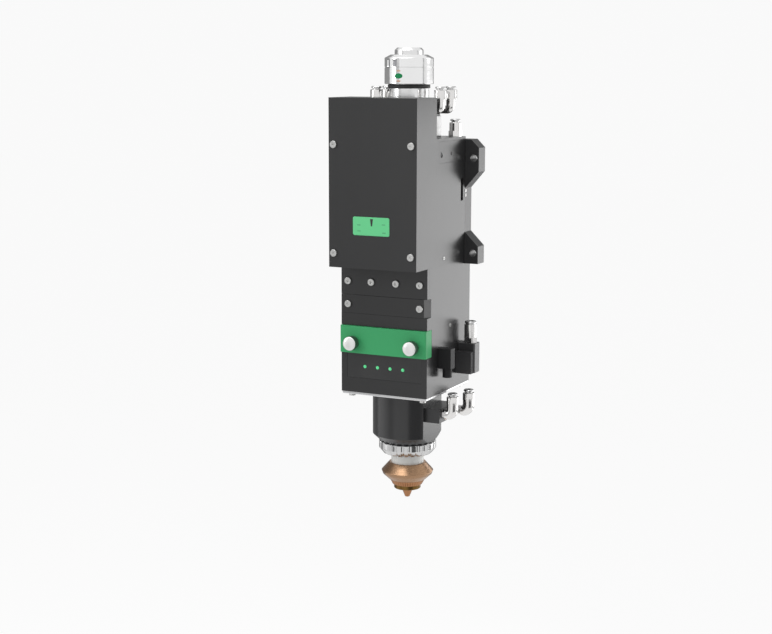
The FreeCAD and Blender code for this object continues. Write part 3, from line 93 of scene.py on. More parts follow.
def grid(name, points, wrap=False):
    """A mesh from points on a grid of rows and columns; wrap joins the last column to the first."""
    rows, columns, _ = points.shape
    row = np.arange(rows - 1)[:, None]
    column = np.arange(columns if wrap else columns - 1)[None, :]
    after = (column + 1) % columns
    faces = np.stack([row * columns + column, row * columns + after,
                      (row + 1) * columns + after, (row + 1) * columns + column], axis=-1)
    mesh = bpy.data.meshes.new(name)
    mesh.from_pydata((points.reshape(-1, 3) * MM).tolist(), [], faces.reshape(-1, 4).tolist())
    close_up(mesh)
    return mesh


def dense(profile, step):
    """The same run of straight lines with its points no further apart than a step."""
    profile = np.asarray(profile, dtype=float)
    parts = [profile[:1]]
    for a, b in zip(profile[:-1], profile[1:]):
        count = max(1, math.ceil(np.linalg.norm(b - a) / step))
        parts.append(a + (b - a) * (np.arange(1, count + 1) / count)[:, None])
    return np.concatenate(parts)


def turned(name, profile, centre=(0, AXIS, 0), facing="up", around=160, step=50, shape=None):
    """A lathe form: profile (radius, height) spun about its axis, radius changed by shape(r, turn, h)."""
    profile = dense(profile, step)
    turn = np.arange(around) / around * 2 * np.pi
    radius = profile[:, 0:1] + 0 * turn
    height = profile[:, 1:2] + 0 * turn
    if shape:
        radius = shape(radius, turn[None, :] + 0 * radius, height)
    across = radius * np.cos(turn)
    along = radius * np.sin(turn)
    flips = {"up": (across, along, height), "front": (across, -height, along),
             "right": (height, across, along)}
    points = np.stack(flips[facing], axis=-1) + np.array(centre)
    return grid(name, points, wrap=True)


def slot_of(node):
    """The record's material slot of a CAD node."""
    return [item["material_slot"] for item in frame["record"]["subparts"] if item["node"] == node][0]


def face_centres(mesh):
    """The middle of each face in millimetres, as seen from the optical axis."""
    centres = np.empty(len(mesh.polygons) * 3)
    mesh.polygons.foreach_get("center", centres)
    return centres.reshape(-1, 3) / MM - (0, AXIS, 0)


def rounded(node, width, segments=2, limit=32):
    """A copy of a CAD node with its triangles joined, its flats made whole and its edges rounded."""
    source = frame["nodes"][node]
    mesh = source.data.copy()
    mesh.name = node + "_dressed"
    work = bmesh.new()
    work.from_mesh(mesh)
    bmesh.ops.remove_doubles(work, verts=work.verts, dist=0.000002)
    bmesh.ops.dissolve_limit(work, angle_limit=math.radians(0.6), verts=work.verts, edges=work.edges)
    work.to_mesh(mesh)
    work.free()
    mesh.materials.clear()
    piece = new_piece(node + "_dressed", mesh, BODY_OF[node], slot_of(node))
    edge = piece.modifiers.new("edges", "BEVEL")
    edge.width = width * MM
    edge.segments = segments
    edge.limit_method = "ANGLE"
    edge.angle_limit = math.radians(limit)
    even = piece.modifiers.new("flats", "WEIGHTED_NORMAL")
    even.weight = 60
    even.keep_sharp = True
    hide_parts(node)
    return piece


BODY_OF = {node: body for body, nodes in frame["record"]["behaviour"]["bodies"].items() for node in nodes}


# ---- shader groups ----

def start_group(name, inputs, outputs):
    """A shader group with named inputs and outputs, and its two end nodes."""
    group = bpy.data.node_groups.new(name, "ShaderNodeTree")
    for label, kind, value in inputs:
        socket = group.interface.new_socket(name=label, in_out="INPUT", socket_type=kind)
        if value is not None:
            socket.default_value = value
    for label, kind in outputs:
        group.interface.new_socket(name=label, in_out="OUTPUT", socket_type=kind)
    return group, group.nodes.new("NodeGroupInput"), group.nodes.new("NodeGroupOutput")


def math_node(tree, operation, first, second=0.5, third=None):
    """A Math node; each input is a socket or a number."""
    node = tree.nodes.new("ShaderNodeMath")
    node.operation = operation
    for i, value in enumerate((first, second, third)):
        if value is None:
            continue
        if isinstance(value, (int, float)):
            node.inputs[i].default_value = value
        else:
            tree.links.new(value, node.inputs[i])
    return node.outputs[0]


def mix_colour(tree, factor, first, second, blend="MIX"):
    """A colour mix; each colour is a socket or three numbers."""
    node = tree.nodes.new("ShaderNodeMix")
    node.data_type = "RGBA"
    node.blend_type = blend
    for socket, value in ((node.inputs[0], factor), (node.inputs[6], first), (node.inputs[7], second)):
        if isinstance(value, (int, float)):
            socket.default_value = value
        elif isinstance(value, tuple):
            socket.default_value = (*value, 1)
        else:
            tree.links.new(value, socket)
    return node.outputs[2]


def noise_node(tree, vector, scale, detail=3, roughness=0.55):
    """A noise texture read at a vector."""
    node = tree.nodes.new("ShaderNodeTexNoise")
    node.inputs["Detail"].default_value = detail
    node.inputs["Roughness"].default_value = roughness
    if isinstance(scale, (int, float)):
        node.inputs["Scale"].default_value = scale
    else:
        tree.links.new(scale, node.inputs["Scale"])
    tree.links.new(vector, node.inputs["Vector"])
    return node.outputs[0]


def stretch(tree, vector, amounts):
    """A vector with each of its axes multiplied."""
    node = tree.nodes.new("ShaderNodeVectorMath")
    node.operation = "MULTIPLY"
    tree.links.new(vector, node.inputs[0])
    node.inputs[1].default_value = amounts
    return node.outputs[0]


def blasted_group():
    """Bead-blasted and dyed metal: fine pits, faint cloudy patches and a little rubbing."""
    group, into, out = start_group(
        "blasted_metal",
        [("Vector", "NodeSocketVector", None), ("Colour", "NodeSocketColor", (0.02, 0.02, 0.02, 1)),
         ("Roughness", "NodeSocketFloat", 0.35), ("Patches", "NodeSocketFloat", 0.2)],
        [("Colour", "NodeSocketColor"), ("Roughness", "NodeSocketFloat"), ("Height", "NodeSocketFloat")])
    vector = into.outputs["Vector"]
    pits = noise_node(group, vector, 2600, 2)
    cloud = noise_node(group, vector, 22, 4)
    streak = noise_node(group, stretch(group, vector, (60, 60, 6)), 1.0, 3)
    centred = math_node(group, "SUBTRACT", cloud, 0.5)
    change = math_node(group, "MULTIPLY", centred, into.outputs["Patches"])
    streaky = math_node(group, "MULTIPLY", math_node(group, "SUBTRACT", streak, 0.5), 0.04)
    lighter = mix_colour(group, 1.0, into.outputs["Colour"], (1.35, 1.35, 1.37), "MULTIPLY")
    amount = math_node(group, "ADD", math_node(group, "MULTIPLY", change, 2.0), 0.35)
    group.links.new(mix_colour(group, amount, into.outputs["Colour"], lighter), out.inputs["Colour"])
    rough = math_node(group, "ADD", into.outputs["Roughness"], change)
    group.links.new(math_node(group, "ADD", rough, streaky), out.inputs["Roughness"])
    group.links.new(pits, out.inputs["Height"])
    return group


def turned_group():
    """Turned metal: fine rings round an upright axis that vary the tone, and faint stains."""
    group, into, out = start_group(
        "turned_metal",
        [("Vector", "NodeSocketVector", None), ("Colour", "NodeSocketColor", (0.6, 0.6, 0.6, 1)),
         ("Stain", "NodeSocketColor", (0.3, 0.3, 0.3, 1)), ("Roughness", "NodeSocketFloat", 0.3),
         ("Stains", "NodeSocketFloat", 0.3)],
        [("Colour", "NodeSocketColor"), ("Roughness", "NodeSocketFloat"), ("Height", "NodeSocketFloat")])
    vector = into.outputs["Vector"]
    rings = noise_node(group, stretch(group, vector, (20, 20, 2600)), 1.0, 2)
    cloud = noise_node(group, vector, 60, 4)
    spots = noise_node(group, vector, 420, 3)
    mask = math_node(group, "MULTIPLY", math_node(group, "MULTIPLY", cloud, spots), into.outputs["Stains"])
    group.links.new(mix_colour(group, mask, into.outputs["Colour"], into.outputs["Stain"]),
                    out.inputs["Colour"])
    wave = math_node(group, "MULTIPLY", math_node(group, "SUBTRACT", rings, 0.5), 0.22)
    soft = math_node(group, "MULTIPLY", math_node(group, "SUBTRACT", cloud, 0.5), 0.18)
    rough = math_node(group, "ADD", into.outputs["Roughness"], wave)
    group.links.new(math_node(group, "ADD", rough, soft), out.inputs["Roughness"])
    group.links.new(rings, out.inputs["Height"])
    return group


def painted_group():
    """Smooth lacquer or moulded plastic: a faint orange peel and a little dust that dulls the gloss."""
    group, into, out = start_group(
        "smooth_skin",
        [("Vector", "NodeSocketVector", None), ("Colour", "NodeSocketColor", (0.1, 0.4, 0.2, 1)),
         ("Roughness", "NodeSocketFloat", 0.4), ("Dust", "NodeSocketFloat", 0.1)],
        [("Colour", "NodeSocketColor"), ("Roughness", "NodeSocketFloat"), ("Height", "NodeSocketFloat")])
    vector = into.outputs["Vector"]
    peel = noise_node(group, vector, 900, 2)
    cloud = noise_node(group, vector, 35, 4)
    specks = noise_node(group, vector, 1500, 1)
    dust = math_node(group, "MULTIPLY", math_node(group, "MULTIPLY", cloud, specks), into.outputs["Dust"])
    group.links.new(mix_colour(group, dust, into.outputs["Colour"], (0.6, 0.6, 0.58)), out.inputs["Colour"])
    soft = math_node(group, "MULTIPLY", math_node(group, "SUBTRACT", cloud, 0.5), 0.16)
    group.links.new(math_node(group, "ADD", into.outputs["Roughness"], soft), out.inputs["Roughness"])
    group.links.new(peel, out.inputs["Height"])
    return group


GROUPS = {"blasted": blasted_group(), "turned": turned_group(), "skin": painted_group()}


def finish(name, kind, colour, roughness, metallic=0.0, bump=0.1, relief=0.02, specular=0.5, **values):
    """A material: one shared group feeds colour, roughness and bump of a Principled shader."""
    made = bpy.data.materials.new(name)
    made.use_nodes = True
    tree = made.node_tree
    shader = tree.nodes["Principled BSDF"]
    shader.inputs["Metallic"].default_value = metallic
    shader.inputs["Specular IOR Level"].default_value = specular
    place = tree.nodes.new("ShaderNodeTexCoord")
    effect = tree.nodes.new("ShaderNodeGroup")
    effect.node_tree = GROUPS[kind]
    tree.links.new(place.outputs["Object"], effect.inputs["Vector"])
    effect.inputs["Colour"].default_value = (*colour, 1)
    effect.inputs["Roughness"].default_value = roughness
    for key, value in values.items():
        effect.inputs[key.capitalize()].default_value = (*value, 1) if isinstance(value, tuple) else value
    tree.links.new(effect.outputs["Colour"], shader.inputs["Base Color"])
    tree.links.new(effect.outputs["Roughness"], shader.inputs["Roughness"])
    if bump:
        raised = tree.nodes.new("ShaderNodeBump")
        raised.inputs["Strength"].default_value = bump
        raised.inputs["Distance"].default_value = relief * MM
        tree.links.new(effect.outputs["Height"], raised.inputs["Height"])
        tree.links.new(raised.outputs["Normal"], shader.inputs["Normal"])
    return made


def glass(name, colour, roughness=0.02):
    """Clear glass with a faint tint."""
    made = bpy.data.materials.new(name)
    made.use_nodes = True
    shader = made.node_tree.nodes["Principled BSDF"]
    shader.inputs["Base Color"].default_value = (*colour, 1)
    shader.inputs["Roughness"].default_value = roughness
    shader.inputs["Transmission Weight"].default_value = 1.0
    shader.inputs["IOR"].default_value = 1.46
    return made


def lit(name, colour, strength):
    """A lamp lens: a smooth skin with its own light."""
    made = finish(name, "skin", colour, 0.2, bump=0.05, dust=0.0)
    shader = made.node_tree.nodes["Principled BSDF"]
    shader.inputs["Emission Color"].default_value = (*colour, 1)
    shader.inputs["Emission Strength"].default_value = strength
    return made


MATERIALS = {
    "dark_housing": finish("dark_anodised", "blasted", (0.020, 0.020, 0.0205), 0.26, bump=0.12,
                           patches=0.05),
    "black_plate": finish("black_anodised", "blasted", (0.027, 0.027, 0.028), 0.34, bump=0.2,
                          patches=0.08),
    "steel_screws": finish("screw_steel", "turned", (0.62, 0.62, 0.61), 0.28, 1.0, stains=0.3),
    "green_plate": finish("green_lacquer", "skin", (0.115, 0.61, 0.25), 0.42, dust=0.04),
    "silver_receiver": finish("machined_aluminium", "turned", (0.80, 0.80, 0.80), 0.22, 1.0, stains=0.15),
    "black_seal": finish("black_rubber", "skin", (0.015, 0.015, 0.015), 0.6, dust=0.05),
    "steel_collar": finish("turned_steel", "turned", (0.86, 0.86, 0.86), 0.15, 1.0, bump=0.1, stains=0.08),
    "nickel_fitting": finish("nickel_plate", "turned", (0.78, 0.77, 0.76), 0.16, 1.0, stains=0.15),
    "steel_ring": finish("ring_steel", "turned", (0.58, 0.58, 0.58), 0.25, 1.0, stains=0.25),
    "inner_frame": finish("inner_anodised", "blasted", (0.02, 0.02, 0.021), 0.4, bump=0.2, patches=0.15),
    "lens_glass": glass("coated_glass", (0.90, 0.95, 0.97)),
    "steel_rod": finish("ground_steel", "turned", (0.6, 0.6, 0.61), 0.18, 1.0, stains=0.1),
    "motor_case": finish("motor_lacquer", "skin", (0.02, 0.02, 0.02), 0.4),
    "bronze_nut": finish("turned_bronze", "turned", (0.60, 0.40, 0.17), 0.3, 1.0, stains=0.4,
                         stain=(0.3, 0.16, 0.06)),
    "green_drawer": finish("green_anodised", "blasted", (0.047, 0.33, 0.125), 0.42, bump=0.15, specular=0.2,
                           patches=0.14),
    "white_knob": finish("bright_aluminium", "turned", (0.80, 0.80, 0.79), 0.35, 0.6, stains=0.1),
    "lamp_panel": finish("panel_plastic", "skin", (0.016, 0.016, 0.017), 0.35, dust=0.04),
    "lamp_green": lit("lit_green", (0.09, 0.60, 0.24), 0.35),
    "silver_base": finish("base_aluminium", "turned", (0.70, 0.70, 0.71), 0.22, 1.0, stains=0.15),
    "grey_sensor": finish("sensor_anodised", "blasted", (0.022, 0.022, 0.023), 0.24, bump=0.2, patches=0.1),
    "silver_lock": finish("lock_steel", "turned", (0.60, 0.60, 0.60), 0.14, 1.0, bump=0.1, stains=0.15),
    "white_ceramic": finish("fired_ceramic", "skin", (0.70, 0.70, 0.68), 0.45, dust=0.1),
    "copper_holder": finish("turned_copper", "turned", (0.40, 0.25, 0.15), 0.28, 1.0, bump=0.3, stains=0.8,
                            stain=(0.22, 0.11, 0.06)),
    "copper_nozzle": finish("nozzle_copper", "turned", (0.44, 0.22, 0.11), 0.28, 1.0, bump=0.3, stains=0.8,
                            stain=(0.16, 0.07, 0.03)),
}
DARK_MARK = finish("dark_mark", "skin", (0.012, 0.012, 0.012), 0.5, dust=0.0)
GREEN_DOT = finish("green_dot", "skin", (0.02, 0.28, 0.10), 0.6, specular=0.15, dust=0.0)
ORANGE_MARK = finish("orange_mark", "skin", (0.72, 0.44, 0.30), 0.6, specular=0.15, dust=0.0)
SIDE_MARK = finish("side_mark", "skin", (0.03, 0.03, 0.03), 0.6, dust=0.0)
# painted shade: a dark copy of the collar's steel for the floors of its slots
SLOT_SHADE_STEEL = finish("slot_steel_painted_shade", "turned", (0.22, 0.22, 0.23), 0.45, 1.0, stains=0.2)
# dull black: the signal block's own finish, and painted shade on the gas block's right faces
DULL_BLACK_AND_SHADE = finish("dull_black_and_shade", "blasted", (0.022, 0.022, 0.023), 0.5, bump=0.2, specular=0.12,
                    patches=0.1)
DARK_BRASS = finish("aged_brass", "turned", (0.21, 0.12, 0.035), 0.3, 1.0, stains=0.6,
                    stain=(0.1, 0.06, 0.03))
# painted shade: a darker copy of the receiver's silver for its right-facing flat
RECEIVER_FLAT_SHADE = finish("receiver_flat_painted_shade", "turned", (0.42, 0.42, 0.42), 0.35, 1.0, stains=0.1)
# painted light: a lighter copy of the black anodised finish for the gas block, standing in for the light on
# its front
BLOCK_PAINTED_LIGHT = finish("block_anodised_painted_light", "blasted", (0.044, 0.044, 0.045), 0.34, bump=0.2, patches=0.08)
# painted light: a lighter, more reflective copy of the anodised finish for the drawer's slanted end,
# standing in for the light it catches
END_PAINTED_LIGHT = finish("end_anodised_painted_light", "blasted", (0.030, 0.030, 0.031), 0.34, bump=0.2, specular=1.0,
                   patches=0.08)
# painted shade: a dark green copy of the knob's aluminium for its rim and back, where shadow falls
KNOB_RIM_SHADE = finish("knob_rim_painted_shade", "turned", (0.060, 0.115, 0.080), 0.5, 0.3, stains=0.1)
GREEN_INK = finish("green_ink", "skin", (0.07, 0.36, 0.16), 0.45, dust=0.0)


def dress(piece, *materials):
    """Give a piece its materials, first the record's own for its slot if none is named."""
    piece.data.materials.clear()
    for item in materials or (MATERIALS[piece["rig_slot"]],):
        piece.data.materials.append(item)


def second_finish(mesh, chosen):
    """Give a mesh's second material to the faces that pass a test."""
    for face in mesh.polygons:
        if chosen(face):
            face.material_index = 1


# ---- rounded copies of the CAD nodes, with each edge's radius in millimetres ----

EDGES = {
    "mounting_plate": 0.5, "main_housing": 0.35, "side_panel": 0.25, "front_cover": 0.5,
    "cover_screws": 0.25, "scale_plate": 0.2, "fibre_receiver": 0.35, "receiver_seal": 0.2,
    "water_manifold": 0.3, "lower_housing": 0.35, "upper_panel": 0.3,
    "upper_window_drawer": 0.3, "front_screws": 0.25, "drawer_front": 1.2, "drawer_tray": 0.3,
    "lamp_panel": 0.2, "base_plate": 0.2, "base_screws": 0.25, "sensor_body": 0.3, "port_block": 0.4,
    "elbow_stems": 0.2, "ceramic_body": 0.2,
    "nozzle_holder": 0.15, "signal_block": 0.4, "gas_block": 0.4, "gas_fitting": 0.25,
    "plate_screws": 0.25, "water_release_1": 0.12, "water_release_2": 0.12, "water_release_3": 0.12,
    "water_release_4": 0.12, "purge_release": 0.12, "gas_release": 0.12, "elbow_release_front": 0.12,
    "elbow_release_rear": 0.12,
}
for name, width in EDGES.items():
    piece = rounded(name, width)
    if name == "signal_block":
        dress(piece, DULL_BLACK_AND_SHADE)
    elif name == "gas_block":
        # the gas block's lightened black is painted light on its front; its right faces take the dull black
        # as painted shade
        dress(piece, BLOCK_PAINTED_LIGHT, DULL_BLACK_AND_SHADE)
        second_finish(piece.data, lambda face: face.normal.x > 0.9 and face.center.y < -27 * MM)
    elif name == "upper_window_drawer":
        # the slanted end facing front and right takes the lighter copy: painted light
        dress(piece, MATERIALS[piece["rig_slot"]], END_PAINTED_LIGHT)
        second_finish(piece.data, lambda face: face.normal.x > 0.3 and face.normal.y < -0.15)
    elif name == "fibre_receiver":
        # the right flat below 85 mm takes the darker grey metal: painted shade
        dress(piece, MATERIALS["silver_receiver"], RECEIVER_FLAT_SHADE)
        second_finish(piece.data, lambda face: face.normal.x > 0.9 and face.center.z < 85 * MM)
    else:
        dress(piece)

for name, source in frame["nodes"].items():
    if source.hide_render:
        continue
    source.data.materials.clear()
    source.data.materials.append(MATERIALS[slot_of(name)])


# ---- turned pieces ----

def between(value, low, high):
    """1 inside a range and 0 outside."""
    return ((value > low) & (value < high)).astype(float)


def collar():
    """The locking collar: two bands, a seam groove and slots in the upper band, with painted shade on the
    slot floors.
    """
    low, seam, shoulder, crown = 108.9, 123.5, 131.8, 134.5
    slots = [(math.radians(-90 + turn), math.radians(width)) for turn, width in
             ((-31, 4.5), (-11, 6), (150, 4.5), (170, 6))]

    def shape(radius, turn, height):
        """The band's radius less 0.9 mm in each upright slot."""
        for middle, half in slots:
            off = np.abs((turn - middle + np.pi) % (2 * np.pi) - np.pi)
            inside = between(off, -1, half) * between(height, seam + 0.9, shoulder - 1.6)
            radius = radius - 0.9 * inside * between(radius, 21, 30)
        return radius

    outline = [(17.05, low), (21.4, low), (21.8, low + 0.4), (21.8, seam - 0.45), (21.3, seam - 0.2),
               (21.3, seam + 0.2), (21.8, seam + 0.45), (21.8, shoulder - 0.3), (21.6, shoulder),
               (16.7, crown - 0.1), (16.4, crown), (12.95, crown), (12.95, 129.0), (17.05, 129.0),
               (17.05, low)]
    mesh = turned("collar", outline, around=240, step=0.6, shape=shape)
    piece = new_piece("collar", mesh, "collar", "steel_collar")
    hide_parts("lock_collar")
    dress(piece, MATERIALS["steel_collar"], SLOT_SHADE_STEEL)
    centres = face_centres(mesh)
    turn = np.arctan2(centres[:, 1], centres[:, 0])
    out = np.hypot(centres[:, 0], centres[:, 1])
    # the slot floors take the dark steel, painted shade in the recesses
    dark = np.zeros(len(centres), dtype=np.int32)
    for middle, half in slots:
        off = np.abs((turn - middle + np.pi) % (2 * np.pi) - np.pi)
        dark[(off < half) & (out < 21.2) & (out > 20.5) & (centres[:, 2] > seam + 0.5)] = 1
    mesh.polygons.foreach_set("material_index", dark)


def patch_on_collar(name, high, wide, tall, material, radius=21.86):
    """A thin oval mark wrapped on the collar, facing the front."""
    ring = np.linspace(0, 1, 9)[:, None]
    turn = np.arange(36) / 36 * 2 * np.pi
    across = ring * np.cos(turn) * wide / 2 / radius
    up = ring * np.sin(turn) * tall / 2
    lift = radius + 0.05 * np.sqrt(np.clip(1 - ring ** 2, 0, 1)) + 0 * turn
    points = np.stack([lift * np.sin(across), AXIS - lift * np.cos(across), high + up], axis=-1)
    piece = new_piece(name, grid(name, points, wrap=True), "collar", "steel_collar")
    dress(piece, material)


def knob(name, body, node, x):
    """A domed thumbscrew with a straight fine grip round its rim, whose side and back carry painted shade
    in dark green.
    """
    def shape(radius, turn, height):
        """The rim's radius less fine grooves, 72 round."""
        inside = between(height, 1.2, 6.4) * between(radius, 6.0, 7.0)
        return radius - 0.06 * inside * (0.5 + 0.5 * np.cos(72 * turn))

    swell = np.linspace(0, math.pi / 2, 10)[1:]
    dome = [(6.25 * math.cos(a), 6.9 + 1.6 * math.sin(a)) for a in swell]
    outline = [(0, 0), (5.6, 0), (6.0, 0.4), (6.0, 1.0), (6.25, 1.3), (6.25, 6.9)] + dome[:-1] + [(0, 8.5)]
    foot = (x, LOWER_FRONT - 2.9, KNOB_HEIGHT)
    mesh = turned(name, outline, foot, "front", 216, 0.6, shape)
    shank = turned(name + "_stem", [(0, -17.6), (1.7, -17.6), (2.0, -17.3), (2.0, 0.2), (0, 0.2)],
                   foot, "front", 40)
    piece = new_piece(name, mesh, body, "white_knob")
    stem = new_piece(name + "_stem", shank, body, "white_knob")
    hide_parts(node)
    # the faces not turned to the front get the dark green, painted shade rather than the knob's own metal
    dress(piece, MATERIALS["white_knob"], KNOB_RIM_SHADE)
    second_finish(mesh, lambda face: face.normal.y > -0.4)
    dress(stem)


def grip_ring():
    """The lock ring: rounded flutes round a rim that tapers below."""
    low, high, lip = -226.2, -215.0, -221.0

    def shape(radius, turn, height):
        """The rim's radius less 24 rounded flutes that run down the taper too."""
        flute = np.clip(np.cos(24 * turn), 0, 1) ** 0.7
        return radius - 0.9 * flute * between(radius, 22.4, 30)

    outline = [(15.1, low), (22.2, low), (22.6, low + 0.3), (26.1, low + 4.6), (26.3, low + 5.0),
               (26.3, high - 0.6), (25.7, high), (20.05, high), (20.05, lip), (15.1, lip), (15.1, low)]
    mesh = turned("grip_ring", outline, around=384, step=0.7, shape=shape)
    piece = new_piece("grip_ring", mesh, "grip_ring", "silver_lock", 40)
    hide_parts("lock_ring")
    dress(piece)


def nozzle():
    """The nozzle: a fluted grip, a brass step and a bright cone with a rounded tip."""
    grip_high, grip_low, step_low, tip = -251.5, -256.4, -260.4, -269.1

    def shape(radius, turn, height):
        """The grip's radius less 40 fine upright grooves."""
        inside = between(height, grip_low + 0.2, grip_high - 0.3) * between(radius, 12.8, 17)
        return radius - 0.55 * inside * np.clip(np.cos(40 * turn), 0, 1)

    outline = [(5.6, -243.5), (7.0, -243.5), (7.0, grip_high), (15.9, grip_high), (16.2, grip_high - 0.3),
               (13.7, grip_low + 0.1), (13.5, grip_low), (12.3, grip_low), (12.3, step_low + 0.5),
               (11.8, step_low), (5.6, step_low), (2.2, tip + 0.25), (1.8, tip), (1.25, tip),
               (1.25, tip + 2.5), (5.6, -243.5)]
    mesh = turned("nozzle_copper", outline, around=320, step=0.7, shape=shape)
    piece = new_piece("nozzle_copper", mesh, "cutting_nozzle", "copper_nozzle", 40)
    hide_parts("nozzle")
    dress(piece, MATERIALS["copper_nozzle"], DARK_BRASS)
    centres = face_centres(mesh)
    out = np.hypot(centres[:, 0], centres[:, 1])
    brass = (centres[:, 2] < grip_low - 0.05) & (centres[:, 2] > step_low - 0.05) & (out > 5.7)
    mesh.polygons.foreach_set("material_index", brass.astype(np.int32))


def bend(name, body, slot, start, x1, top, legs, node, mouth=3.55, deep=9.0):
    """A pipe elbow: a level leg from a start to the upright at x1, with an open mouth at the top.

    Circles are swept along a level line, a quarter circle and an upright line; each circle stands
    square to that path and its radius follows the leg, the body and the cap.
    """
    x0, y, z0 = start
    sign = 1 if x1 > x0 else -1
    leg, barrel, cap, cap_from = legs
    turn_radius = barrel + 0.15
    rings = [((x0, z0), 90, 0), ((x0, z0), 90, leg - 0.3), ((x0 + sign * 0.3, z0), 90, leg)]
    near = (x1 - sign * turn_radius, z0)
    if (near[0] - x0) * sign > 0.4:
        rings.append((near, 90, leg))
    for i in range(1, 15):
        part = math.radians(90 * i / 14)
        centre = (near[0] + sign * turn_radius * math.sin(part), z0 + turn_radius * (1 - math.cos(part)))
        rings.append((centre, 90 - 90 * i / 14, leg + (barrel - leg) * (i / 14) ** 0.8))
    for radius, z in ((barrel, cap_from), (cap, cap_from + 0.25), (cap, top - 0.6), (cap - 0.2, top - 0.2),
                      (cap - 0.6, top), (mouth + 0.2, top), (mouth, top - 0.2), (mouth, top - deep),
                      (0, top - deep)):
        rings.append(((x1, z), 0, radius))
    around = np.arange(72) / 72 * 2 * np.pi
    rows = []
    for (x, z), tilt, radius in rings:
        lean = math.radians(tilt)
        across = radius * np.cos(around)
        out = radius * np.sin(around)
        points = (x - sign * across * math.cos(lean), y + out, z + across * math.sin(lean))
        rows.append(np.stack(points, axis=-1))
    piece = new_piece(name, grid(name, np.array(rows), wrap=True), body, slot)
    if node:
        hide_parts(node)
    dress(piece)


def fittings():
    """The four water elbows, the straight fitting on the step and the two elbows on the sensor."""
    for i, (x, wall) in enumerate(((35.6, 21.0), (-26.7, -21.0))):
        for k, off in enumerate((-11.0, 11.0)):
            first = i == 0 and k == 0
            bend(f"water_elbow_{2 * i + k + 1}", "head", "nickel_fitting", (wall, AXIS + off, 86.5), x,
                 104.0, (3.6, 3.9, 5.6, 95.6), "top_fittings" if first else None)
    outline = [(0, 62.5), (5.5, 62.5), (5.5, 67.5), (5.3, 67.7), (5.3, 74.6), (4.9, 75.0), (3.75, 75.0),
               (3.55, 74.8), (3.55, 66.0), (0, 66.0)]

    def shape(radius, turn, height):
        """A hexagon 10.8 mm across its flats at the foot, and round above."""
        flat = 5.4 / np.cos((turn + np.pi / 6) % (np.pi / 3) - np.pi / 6)
        return np.where((height < 67.6) & (radius > 5.4), np.minimum(flat, 6.05), radius)

    foot = new_piece("purge_body", turned("purge_body", outline, (35.4, -23.0, 0), "up", 96, 0.7, shape),
                     "head", "nickel_fitting")
    dress(foot)
    for name, y, upright in (("front", -53.8, 48.7), ("rear", -31.8, 54.9)):
        bend(f"sensor_elbow_{name}", f"{name}_elbow", "nickel_fitting",
             (upright - 6.64, y, SENSOR_ELBOW_HEIGHT), upright, -168.0,
             (4.9, 5.2, 5.4, -175.0), f"elbow_{name}")


def lamps():
    """Four domed lamp lenses in their panel."""
    for i in range(4):
        x = 12.4 * (i - 1.5)
        swell = np.linspace(0, math.pi / 2, 8)
        dome = [(1.5 * math.cos(a), 1.9 + 0.6 * math.sin(a)) for a in swell]
        outline = [(0, 0), (1.5, 0)] + dome[:-1] + [(0, 2.5)]
        mesh = turned(f"lamp_{i + 1}", outline, (x, LOWER_FRONT + 2.0, LAMP_HEIGHT), "front", 48)
        piece = new_piece(f"lamp_{i + 1}", mesh, "head", "lamp_green")
        if i == 0:
            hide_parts("status_lamps")
        dress(piece)


def flat_mark(name, corners, plane, facing, body, material, thickness=0.06):
    """A thin printed shape on a flat face: its corners raised by a hair above the face.

    Corners are (x, z) on a front face and (y, z) on a right one.
    """
    corners = np.array(corners, dtype=float)
    middle = corners.mean(axis=0)
    out = -1 if facing == "front" else 1
    rows = []
    for scale, lift in ((0.0, thickness), (1.0, thickness), (1.0, -0.1), (0.0, -0.1)):
        ring = middle + (corners - middle) * scale
        depth = np.full(len(ring), plane + out * lift)
        columns = (ring[:, 0], depth, ring[:, 1]) if facing == "front" else (depth, ring[:, 0], ring[:, 1])
        rows.append(np.stack(columns, axis=-1))
    piece = new_piece(name, grid(name, np.array(rows), wrap=True), body, "green_plate", 20)
    dress(piece, material)


def side_marks():
    """A dark wedge and a dot on the side panel, and four small screws in the right side."""
    flat_mark("side_wedge", [(-68.6, 51.2), (-65.2, 48.7), (-68.6, 46.2)], RIGHT, "right", "head",
              SIDE_MARK)
    turn = np.arange(24) / 24 * 2 * np.pi
    flat_mark("side_dot", np.stack([-46.6 + 1.2 * np.cos(turn), 49.4 + 1.2 * np.sin(turn)], axis=-1),
              RIGHT, "right", "head", DARK_MARK)
    for i, (y, z) in enumerate(((-13.8, 13.6), (-13.8, 9.6), (-60.8, -42.7), (-45.9, -104.7))):
        outline = [(0, -1.0), (1.5, -1.0), (1.5, 0.25), (1.3, 0.45), (0.75, 0.45), (0.75, -0.4), (0, -0.4)]
        mesh = turned(f"side_screw_{i + 1}", outline, (RIGHT, y, z), "right", 36)
        dress(new_piece(f"side_screw_{i + 1}", mesh, "head", "steel_screws"))


def scale_marks():
    """A wedge pointer and four short dashes on the scale plate."""
    face = FRONT - 0.2
    flat_mark("scale_pointer", [(-1.9, -4.9), (0.9, -4.9), (0.1, -11.1), (-1.1, -11.1)], face, "front",
              "head", DARK_MARK)
    for i, (x, z) in enumerate(((-12.6, -10.4), (11.0, -9.4), (-12.6, -15.6), (11.4, -16.4))):
        flat_mark(f"scale_dash_{i + 1}", [(x - 1.6, z - 0.4), (x + 1.6, z - 0.4), (x + 1.6, z + 0.4),
                                          (x - 1.6, z + 0.4)], face, "front", "head", GREEN_INK)


